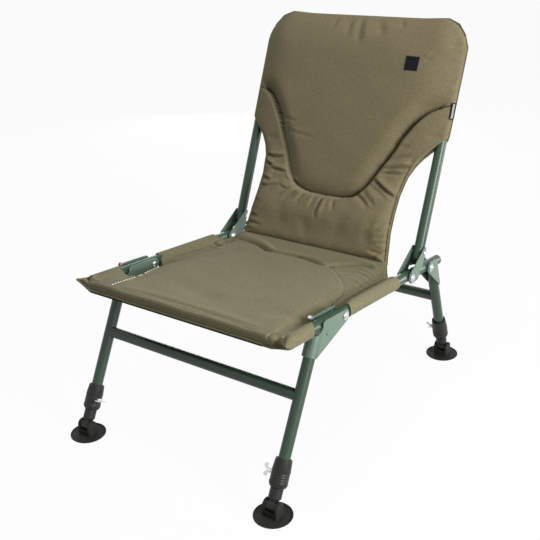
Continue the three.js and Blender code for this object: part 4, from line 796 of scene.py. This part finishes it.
def cord_along(name, places, radius, sides=10):
    """Thin closed cord along a line of places in metres."""
    up = SEAT_UP + BACK_OUT
    aims = np.gradient(places, axis=0)
    outs = np.cross(aims, up)
    outs /= np.linalg.norm(outs, axis=1, keepdims=True)
    ups = np.cross(outs, aims)
    ups /= np.linalg.norm(ups, axis=1, keepdims=True)
    return sweep(name, places, outs, ups, radius * MM, sides)


def seat_stitching():
    reach = np.linspace(*STITCH_ROW, 90)
    x = STITCHES_INSIDE - np.interp(reach, *zip(*LEFT_PAD_EDGE))
    places = on_seat(x, reach, 0.7)
    ups = np.broadcast_to(SEAT_UP, places.shape)
    return stitches("seat_stitches", places, ups, length=5.6, gap=2.2, width=2.6, height=2.2,
                    skip=0.18, seed=4)


def pillow_seam():
    """The sewn line between the pillow and the panels beside it."""
    line = seam_line()
    line = line[np.abs(line[:, 0]) < back_half(line[:, 1]) - 1]
    return cord_along("pillow_seam", on_back(*line.T, -0.1), SEAM_LINE_R)


def resampled(line, step):
    """The same line with places at even steps."""
    travelled = np.concatenate([[0], np.cumsum(np.hypot(*np.diff(line, axis=0).T))])
    at = np.arange(0, travelled[-1], step)
    return np.stack([np.interp(at, travelled, line[:, k]) for k in range(2)], axis=1)


def back_sleeve_seam():
    """The seam that closes the sleeve round the hoop, on the rear of the cover."""
    places, outs = hoop_line(WING_RISE + 8, BACK_BAR_RISE, BACK_BEND_R)
    x, rise = resampled(places - outs * REAR_SEAM_INSET, 3).T
    _, rear = back_surfaces(x, rise)
    return cord_along("back_sleeve_seam", back_place(x, rise, rear), HEM_LINE_R)


def pad_seam():
    """The sewn line at the rear of the seat's foam, and along the right sleeve."""
    line = spline(PAD_ARC)
    line = line[line[:, 1] > -60]
    return cord_along("foam_seam", on_seat(*line.T, -0.2), HEM_LINE_R)


def crease_shadow_cord():
    """A dark cord deep in the crease behind the foam: painted shade where the roll behind it overhangs
    the crease.
    """
    line = spline(REAR_CREASE)
    line = line[np.abs(line[:, 0]) < 192]
    return cord_along("crease_shadow_cord", on_seat(*line.T, 0.4), SEAM_LINE_R)


def sleeve_seam(side):
    reach = np.linspace(SLEEVE_SEAM[0][0], SLEEVE_SEAM[-1][0], 60)
    x = side * np.interp(reach, *zip(*SLEEVE_SEAM))
    name = "sleeve_seam_left" if side < 0 else "sleeve_seam_right"
    return cord_along(name, on_seat(x, reach, -0.2), HEM_LINE_R)


def rim_of_back(x, rise):
    front, rear = back_surfaces(x, rise)
    return back_place(x, rise + corner_lift(x, rise), (front + rear) / 2)


def rim_of_seat(side):
    """Middle of the free edge of the seat's fabric, from the crease to the end of the sleeve."""
    line = spline(REAR_OUTLINE)
    line = line[(line[:, 1] < CREASE_REACH - 4) & (line[:, 0] < RAIL_X - 2)][::-1]
    x, reach = side * line[:, 0], line[:, 1]
    return seat_place(x, reach, (seat_top(x, reach) + seat_bottom(x, reach)) / 2)


def edge_binding():
    """Folded tape sewn round the backrest's edge and down to the ends of the seat's sleeves."""
    rise = np.concatenate([np.arange(CREASE_RISE + 3, BACK_TOP - 12, 2.5),
                           BACK_TOP - np.linspace(11, 0.4, 6)])
    half = back_half(rise)
    left = rim_of_back(-half, rise)
    right = rim_of_back(half, rise)
    across = np.arange(-half[-1] + 4, half[-1] - 3, 4.0)
    top = rim_of_back(across, np.full(across.shape, BACK_TOP - 0.4))
    path = np.vstack([rim_of_seat(-1)[::-1], left, top, right[::-1], rim_of_seat(1)])
    return cord_along("edge_binding", path, BINDING_R, sides=12)


def front_piping(name, ahead, below, radius):
    """A cord under the seat's front edge, which climbs to the left tip."""
    x = np.linspace(-SEAT_HALF - 0.3, FRONT_PIPING_END, 160)
    tip = corner_tip(x, np.full(x.shape, -FRONT_BAR_REACH - SLEEVE_R))
    reach = -FRONT_BAR_REACH - mix(ahead, SLEEVE_R + 0.8, tip)
    height = mix(-below, LEFT_TIP_TOP - 1.6, tip)
    return cord_along(name, seat_place(x, reach, height), radius)


# Labels
def label(node, finish, border, rim, width, front, rear):
    """Woven label in place of a CAD node, with another finish on the faces near its rim."""
    piece = dress(closed_skin(f"{node}_woven", front, rear), finish, "label_cloth", node)
    piece.data.materials.append(finishes[border])
    middle = (rim[:-1, :-1] + rim[1:, 1:]) / 2
    for face, distance in zip(piece.data.polygons, middle.ravel()):
        face.material_index = int(distance < width)
    return piece


def label_patch():
    step = np.linspace(-PATCH_SIDE / 2, PATCH_SIDE / 2, 41)
    u, v = np.meshgrid(step, step)
    rim = PATCH_SIDE / 2 - np.maximum(np.abs(u), np.abs(v))
    lift = 0.35 + 0.75 * quarter(rim / 0.8) + 0.35 * bell(rim - 1.6, 0.9)
    x, rise = PATCH_X + u, PATCH_RISE + v
    front, _ = back_surfaces(x, rise)
    return label("label_patch", "label", "label_border", rim, LABEL_BORDER,
                 back_place(x, rise, front + lift), back_place(x, rise, front + 0.1))


def side_tag():
    width, height = TAG_SIZE
    u, v = np.meshgrid(np.linspace(-width / 2, width / 2, 15), np.linspace(-height / 2, height / 2, 35))
    x = TAG_X + u * 0.8
    depth = TAG_DEPTH - TAG_LEAN * u + 0.5 * np.sin(v / 6)
    rim = np.minimum(width / 2 - np.abs(u), height / 2 - np.abs(v))
    lift = 0.5 * quarter(rim / 0.7)
    rise = TAG_RISE + v
    return label("side_tag", "tag", "label", rim, LABEL_BORDER * 2,
                 back_place(x + 0.5 * lift, rise, depth + lift), back_place(x, rise, depth - 0.3))


# Materials
SHEEN = (0.92, 0.88, 0.68, 1)


class Tree:
    """A node tree and short ways to add nodes to it and link them."""

    def __init__(self, tree):
        self.tree = tree

    def node(self, kind, inputs=None, **settings):
        made = self.tree.nodes.new(kind)
        for setting, value in settings.items():
            setattr(made, setting, value)
        for socket, value in (inputs or {}).items():
            self.feed(made.inputs[socket], value)
        return made

    def feed(self, socket, value):
        if isinstance(value, bpy.types.NodeSocket):
            self.tree.links.new(value, socket)
        else:
            socket.default_value = value

    def maths(self, a, b, operation="ADD"):
        return self.node("ShaderNodeMath", {0: a, 1: b}, operation=operation).outputs[0]


class Shader(Tree):
    """A node material with its Principled shader ready to be fed."""

    def __init__(self, name, **sockets):
        self.material = bpy.data.materials.new(name)
        self.material.use_nodes = True
        super().__init__(self.material.node_tree)
        self.surface = self.tree.nodes["Principled BSDF"]
        self.space = self.node("ShaderNodeTexCoord").outputs["Object"]
        for socket, value in sockets.items():
            self.surface.inputs[socket.replace("_", " ")].default_value = value

    def noise(self, scale, detail=2.0):
        inputs = {"Vector": self.space, "Scale": scale, "Detail": detail}
        return self.node("ShaderNodeTexNoise", inputs).outputs["Fac"]

    def ramp(self, fac, stops):
        made = self.node("ShaderNodeValToRGB", {"Fac": fac})
        elements = made.color_ramp.elements
        for element, (position, colour) in zip(elements, stops):
            element.position, element.color = position, colour
        for position, colour in stops[2:]:
            elements.new(position).color = colour
        return made.outputs["Color"]

    def bump(self, height, distance, strength=1.0, normal=None):
        inputs = {"Height": height, "Distance": distance, "Strength": strength}
        if normal is not None:
            inputs["Normal"] = normal
        return self.node("ShaderNodeBump", inputs).outputs["Normal"]

    def cloudy(self, colour, scale, amount):
        """Colour that varies a little over the surface."""
        stops = [(0.3, tint(colour, 1 - amount)), (0.7, tint(colour, 1 + amount))]
        self.feed(self.surface.inputs["Base Color"], self.ramp(self.noise(scale, 3), stops))

    def worn(self, scale, least, most):
        """Roughness that varies between two values."""
        inputs = {"Value": self.noise(scale, 2), "To Min": least, "To Max": most}
        rough = self.node("ShaderNodeMapRange", inputs)
        self.feed(self.surface.inputs["Roughness"], rough.outputs[0])

    def grained(self, scale, detail, depth, strength):
        grain = self.bump(self.noise(scale, detail), depth, strength)
        self.feed(self.surface.inputs["Normal"], grain)


def linear(red, green, blue):
    """Screen colour, 0 to 255, as the shader's linear colour."""
    channels = [c / 255 for c in (red, green, blue)]
    return (*[c / 12.92 if c < 0.04045 else ((c + 0.055) / 1.055) ** 2.4 for c in channels], 1)


def tint(colour, factor):
    return (*[min(c * factor, 1) for c in colour[:3]], 1)


def painted(name, colour, roughness):
    shader = Shader(name, Specular_IOR_Level=0.42, Coat_Weight=0.12, Coat_Roughness=0.25)
    shader.cloudy(colour, 38, 0.05)
    shader.worn(120, roughness - 0.05, roughness + 0.07)
    shader.grained(900, 2, 0.00006, 0.5)
    return shader.material


def metal(name, colour, roughness):
    shader = Shader(name, Metallic=1.0)
    shader.cloudy(colour, 160, 0.08)
    shader.worn(420, roughness - 0.08, roughness + 0.12)
    shader.grained(1400, 2, 0.00004, 0.4)
    return shader.material


def moulded(name, colour, roughness, gloss=0.5):
    shader = Shader(name, Specular_IOR_Level=gloss)
    shader.cloudy(colour, 60, 0.1)
    shader.worn(200, roughness - 0.06, roughness + 0.08)
    shader.grained(1800, 3, 0.0001, 0.6)
    return shader.material


def woven(name, colour, tilt, thread=0.75, grain=430):
    """Matt polyester canvas: crossing threads, a melange of two tones and a faint nap."""
    shader = Shader(name, Roughness=0.92, Sheen_Weight=0.22, Sheen_Roughness=0.55,
                    Sheen_Tint=SHEEN, Specular_IOR_Level=0.15)
    turned = shader.node("ShaderNodeMapping", {"Vector": shader.space, "Rotation": (tilt, 0, 0)})
    threads = {"Vector": turned.outputs[0], "Scale": math.tau / (thread * MM) / 20,
               "Distortion": 0.4, "Detail": 1.0}
    warp, weft = (shader.node("ShaderNodeTexWave", threads, bands_direction=way).outputs["Fac"]
                  for way in "XY")
    weave = shader.maths(warp, weft, "MULTIPLY")
    melange = shader.maths(shader.noise(1300, 2), shader.maths(shader.noise(grain, 3), 1.3, "MULTIPLY"))
    melange = shader.maths(melange, shader.maths(weave, 0.25, "MULTIPLY"))
    tones = shader.ramp(shader.maths(melange, 2.55, "DIVIDE"),
                        [(0.36, tint(colour, 0.76)), (0.6, tint(colour, 1.24))])
    wide = shader.ramp(shader.noise(14, 2), [(0.3, tint((1, 1, 1), 0.95)), (0.7, (1, 1, 1, 1))])
    both = shader.node("ShaderNodeMix", {0: 1.0, 6: tones, 7: wide}, data_type="RGBA",
                       blend_type="MULTIPLY")
    shader.feed(shader.surface.inputs["Base Color"], both.outputs[2])
    fine = shader.bump(weave, 0.00022, 0.5)
    nap = shader.bump(shader.noise(420, 3), 0.0004, 0.35, fine)
    shader.feed(shader.surface.inputs["Normal"], nap)
    return shader.material


def label_cloth(name, ground, edge):
    """Dense satin weave in two tones."""
    shader = Shader(name, Roughness=0.7, Specular_IOR_Level=0.1)
    wave = shader.node("ShaderNodeTexWave", {"Vector": shader.space, "Scale": 700.0},
                       bands_direction="X").outputs["Fac"]
    tones = shader.ramp(shader.maths(wave, shader.noise(900, 2), "MULTIPLY"),
                        [(0.2, ground), (0.7, edge)])
    shader.feed(shader.surface.inputs["Base Color"], tones)
    shader.feed(shader.surface.inputs["Normal"], shader.bump(wave, 0.0001, 0.5))
    return shader.material


# Seat and backrest are one fabric. The two tints are painted light: each copy is tinted for how light
# and sheen fall on it, the seat's darker and greener, the backrest's browner.
SEAT_OLIVE_TINTED_FOR_LIGHT = linear(115, 110, 83)
BACK_OLIVE_TINTED_FOR_LIGHT = linear(124, 114, 87)
FRAME_GREEN = linear(44, 68, 51)
# The brackets wear the frame's green paint. This lighter copy of it is painted light on their flat
# faces, which face the lamps.
BRACKET_GREEN_LIT = linear(97, 118, 103)
finishes = {
    "seat": woven("seat_canvas_tinted_for_light", SEAT_OLIVE_TINTED_FOR_LIGHT, PITCH, grain=320),
    "back": woven("backrest_canvas_tinted_for_light", BACK_OLIVE_TINTED_FOR_LIGHT, math.pi / 2 - RECLINE),
    "frame_paint": painted("frame_paint_gloss", FRAME_GREEN, 0.34),
    "bracket_paint": painted("bracket_paint_lit_copy", BRACKET_GREEN_LIT, 0.38),
    "zinc": metal("zinc_plated_steel", linear(208, 211, 212), 0.3),
    "grey_plastic": moulded("grey_moulded_plastic", linear(34, 34, 31), 0.45, 0.3),
    "black_plastic": moulded("black_moulded_plastic", linear(34, 34, 31), 0.66, 0.22),
    "red_plastic": moulded("red_moulded_plastic", linear(196, 36, 48), 0.35),
    "thread": moulded("pale_thread", linear(222, 220, 206), 0.8),
    "binding": woven("binding_tape", tint(BACK_OLIVE_TINTED_FOR_LIGHT, 0.5), 0.4, 0.6),
    # The seams are real, but their near-black colour is painted shade of the grooves they lie in. The
    # cord in the crease behind the foam is painted shade alone.
    "seam_and_shade": moulded("sewn_seam_painted_shade", tint(BACK_OLIVE_TINTED_FOR_LIGHT, 0.2), 0.9, 0.05),
    # Dark cord under the front edge of the seat
    "dark_edge": moulded("dark_edge_cord", linear(52, 49, 38), 0.9, 0.05),
    "label": label_cloth("label_weave", linear(14, 15, 20), linear(30, 31, 38)),
    "label_border": label_cloth("label_border_weave", linear(40, 30, 32), linear(70, 60, 62)),
    "tag": label_cloth("tag_weave", linear(150, 152, 148), linear(214, 216, 212)),
}


# Smooth shading of the frame's facets, without touching its meshes
def shading_group(name, weld, angle):
    group = bpy.data.node_groups.new(name, "GeometryNodeTree")
    for way in ("INPUT", "OUTPUT"):
        group.interface.new_socket("Geometry", in_out=way, socket_type="NodeSocketGeometry")
    tree = Tree(group)
    last = tree.node("NodeGroupInput").outputs[0]
    if weld:
        plain = tree.node("GeometryNodeRemoveAttribute", {0: last, "Name": "custom_normal"})
        merged = tree.node("GeometryNodeMergeByDistance", {0: plain.outputs[0], "Distance": weld})
        last = merged.outputs[0]
    faces = tree.node("GeometryNodeSetShadeSmooth", {0: last}, domain="FACE")
    fold = tree.node("GeometryNodeInputMeshEdgeAngle").outputs["Unsigned Angle"]
    sharp = tree.node("FunctionNodeCompare", data_type="FLOAT", operation="GREATER_THAN")
    tree.feed(sharp.inputs[0], fold)
    tree.feed(sharp.inputs[1], math.radians(angle))
    edges = tree.node("GeometryNodeSetShadeSmooth", {0: faces.outputs[0], "Selection": sharp.outputs[0],
                                                     "Shade Smooth": False}, domain="EDGE")
    tree.node("NodeGroupOutput", {0: edges.outputs[0]})
    return group


WELDED = shading_group("welded_shading", 0.00002, 35)
ROUNDED = shading_group("rounded_shading", 0, 40)


def smooth(piece, group):
    piece.modifiers.new(group.name, "NODES").node_group = group


def bevelled(piece, width):
    bevel = piece.modifiers.new("edge_round", "BEVEL")
    bevel.width = width * MM
    bevel.segments = 2
    bevel.limit_method = "ANGLE"
    bevel.angle_limit = math.radians(40)


def finish_frame():
    edges = {"bracket": 0.5, "collar": 0.5, "mud_foot": 0.5, "foot_stem": 0.4, "wing_screw": 0.35,
             "knob": 0.3, "button": 0.3}
    nodes = frame["nodes"]
    for name, node in nodes.items():
        slot = node.material_slots[0]
        slot.material = finishes.get(slot.material.name, finishes["frame_paint"])
        smooth(node, WELDED)
        for word, width in edges.items():
            if word in name:
                bevelled(node, width)
                smooth(node, ROUNDED)
                break
    # The photo shows bare metal at the right button and no bright heads on the stop pins
    nodes["lock_button_right"].material_slots[0].material = finishes["zinc"]
    for side in ("left", "right"):
        nodes[f"front_stop_pin_{side}"].material_slots[0].material = finishes["bracket_paint"]


# Places at the hinge, and the baking of a cover's transform into its mesh
HINGE_FROM = Vector(seat_place(0, HINGE_REACH - 24, CREASE_HEIGHT - 7))
HINGE_TO = Vector(back_place(0, 50, 52))


def bends(piece):
    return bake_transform(piece)


def dress(piece, finish, slot, *nodes):
    piece.data.materials.clear()
    piece.data.materials.append(finishes[finish])
    smooth(piece, ROUNDED)
    if nodes:
        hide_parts(*nodes)
    return piece


# Stage
def floor():
    """White to the camera and in reflections. The shadow stays, and little light comes back up."""
    corners = np.array([(-1, -1, 0), (1, -1, 0), (1, 1, 0), (-1, 1, 0)]) * FLOOR_HALF
    ground = mesh_object("floor", corners, [[0, 1, 2, 3]])
    shader = Shader("floor_white", Roughness=0.9)
    ray = shader.node("ShaderNodeLightPath").outputs
    greys = {0: ray["Is Camera Ray"], 6: (*[FLOOR_BOUNCE] * 3, 1), 7: (*[FLOOR_SEEN] * 3, 1)}
    base = shader.node("ShaderNodeMix", greys, data_type="RGBA")
    shader.feed(shader.surface.inputs["Base Color"], base.outputs[2])
    seen = shader.maths(shader.maths(ray["Is Camera Ray"], ray["Is Glossy Ray"], "MAXIMUM"),
                        ray["Is Transmission Ray"], "MAXIMUM")
    white = shader.node("ShaderNodeEmission", {"Color": WHITE, "Strength": 1.0})
    share = shader.maths(seen, FLOOR_WHITE, "MULTIPLY")
    both = shader.node("ShaderNodeMixShader", {0: share, 1: shader.surface.outputs[0],
                                               2: white.outputs[0]})
    output = shader.tree.nodes["Material Output"]
    shader.feed(output.inputs["Surface"], both.outputs[0])
    ground.data.materials.append(shader.material)


def sky():
    world = bpy.data.worlds.new("studio_white")
    bpy.context.scene.world = world
    world.use_nodes = True
    tree = Tree(world.node_tree)
    nodes = world.node_tree.nodes
    light = nodes["Background"]
    tree.feed(light.inputs["Color"], WHITE)
    tree.feed(light.inputs["Strength"], SKY_STRENGTH)
    white = tree.node("ShaderNodeBackground", {"Color": WHITE})
    ray = tree.node("ShaderNodeLightPath").outputs
    seen = tree.maths(ray["Is Camera Ray"], ray["Is Glossy Ray"], "MAXIMUM")
    both = tree.node("ShaderNodeMixShader", {0: seen, 1: light.outputs[0], 2: white.outputs[0]})
    tree.feed(nodes["World Output"].inputs["Surface"], both.outputs[0])


def softbox(name, place, size, power):
    lamp = bpy.data.lights.new(name, "AREA")
    lamp.shape = "RECTANGLE"
    lamp.size, lamp.size_y = size
    lamp.energy = power
    thing = bpy.data.objects.new(name, lamp)
    thing.location = place
    thing.rotation_euler = (Vector(LIGHT_AIM) - Vector(place)).to_track_quat("-Z", "Y").to_euler()
    bpy.context.scene.collection.objects.link(thing)


def camera():
    data = bpy.data.cameras.new("photo_camera")
    data.sensor_width = SENSOR
    data.lens = FOCAL_PIXELS / PHOTO_WIDTH * SENSOR
    viewer = bpy.data.objects.new("photo_camera", data)
    back = Vector((math.sin(CAMERA_AZIMUTH) * math.cos(CAMERA_ELEVATION),
                   -math.cos(CAMERA_AZIMUTH) * math.cos(CAMERA_ELEVATION), math.sin(CAMERA_ELEVATION)))
    level = Vector((0, 0, 1)).cross(back).normalized()
    upright = back.cross(level)
    right = level * math.cos(CAMERA_ROLL) + upright * math.sin(CAMERA_ROLL)
    up = upright * math.cos(CAMERA_ROLL) - level * math.sin(CAMERA_ROLL)
    x, y, z = CAMERA_PLACE
    place = Vector((x, y + FRONT_PIVOT.y, z)) * MM
    turn = Matrix((right, up, back)).transposed().to_4x4()
    viewer.matrix_world = Matrix.Translation(place) @ turn
    bpy.context.scene.collection.objects.link(viewer)
    bpy.context.scene.camera = viewer


camera()
sky()
for light in LIGHTS:
    softbox(*light)
floor()
finish_frame()

seat = dress(seat_cover(), "seat", "cover_cloth", "seat_cover")
bends(seat)
back = dress(back_cover(), "back", "cover_cloth", "backrest_cover")
bends(back)
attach(dress(seat_stitching(), "thread", "cover_cloth"), "seat_frame")
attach(dress(pad_seam(), "seam_and_shade", "cover_cloth"), "seat_frame")
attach(dress(crease_shadow_cord(), "seam_and_shade", "cover_cloth"), "seat_frame")
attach(dress(sleeve_seam(-1), "seam_and_shade", "cover_cloth"), "seat_frame")
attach(dress(sleeve_seam(1), "seam_and_shade", "cover_cloth"), "seat_frame")
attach(dress(front_piping("front_hem", *HEM_ROLL), "seat", "cover_cloth"), "seat_frame")
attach(dress(front_piping("front_dark_cord", *DARK_CORD_EDGE), "dark_edge", "cover_cloth"), "seat_frame")
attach(dress(pillow_seam(), "seam_and_shade", "cover_cloth"), "backrest")
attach(dress(back_sleeve_seam(), "seam_and_shade", "cover_cloth"), "backrest")
bends(dress(edge_binding(), "binding", "cover_cloth"))
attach(label_patch(), "backrest")
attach(side_tag(), "backrest")

bpy.context.scene.view_settings.view_transform = "Standard"
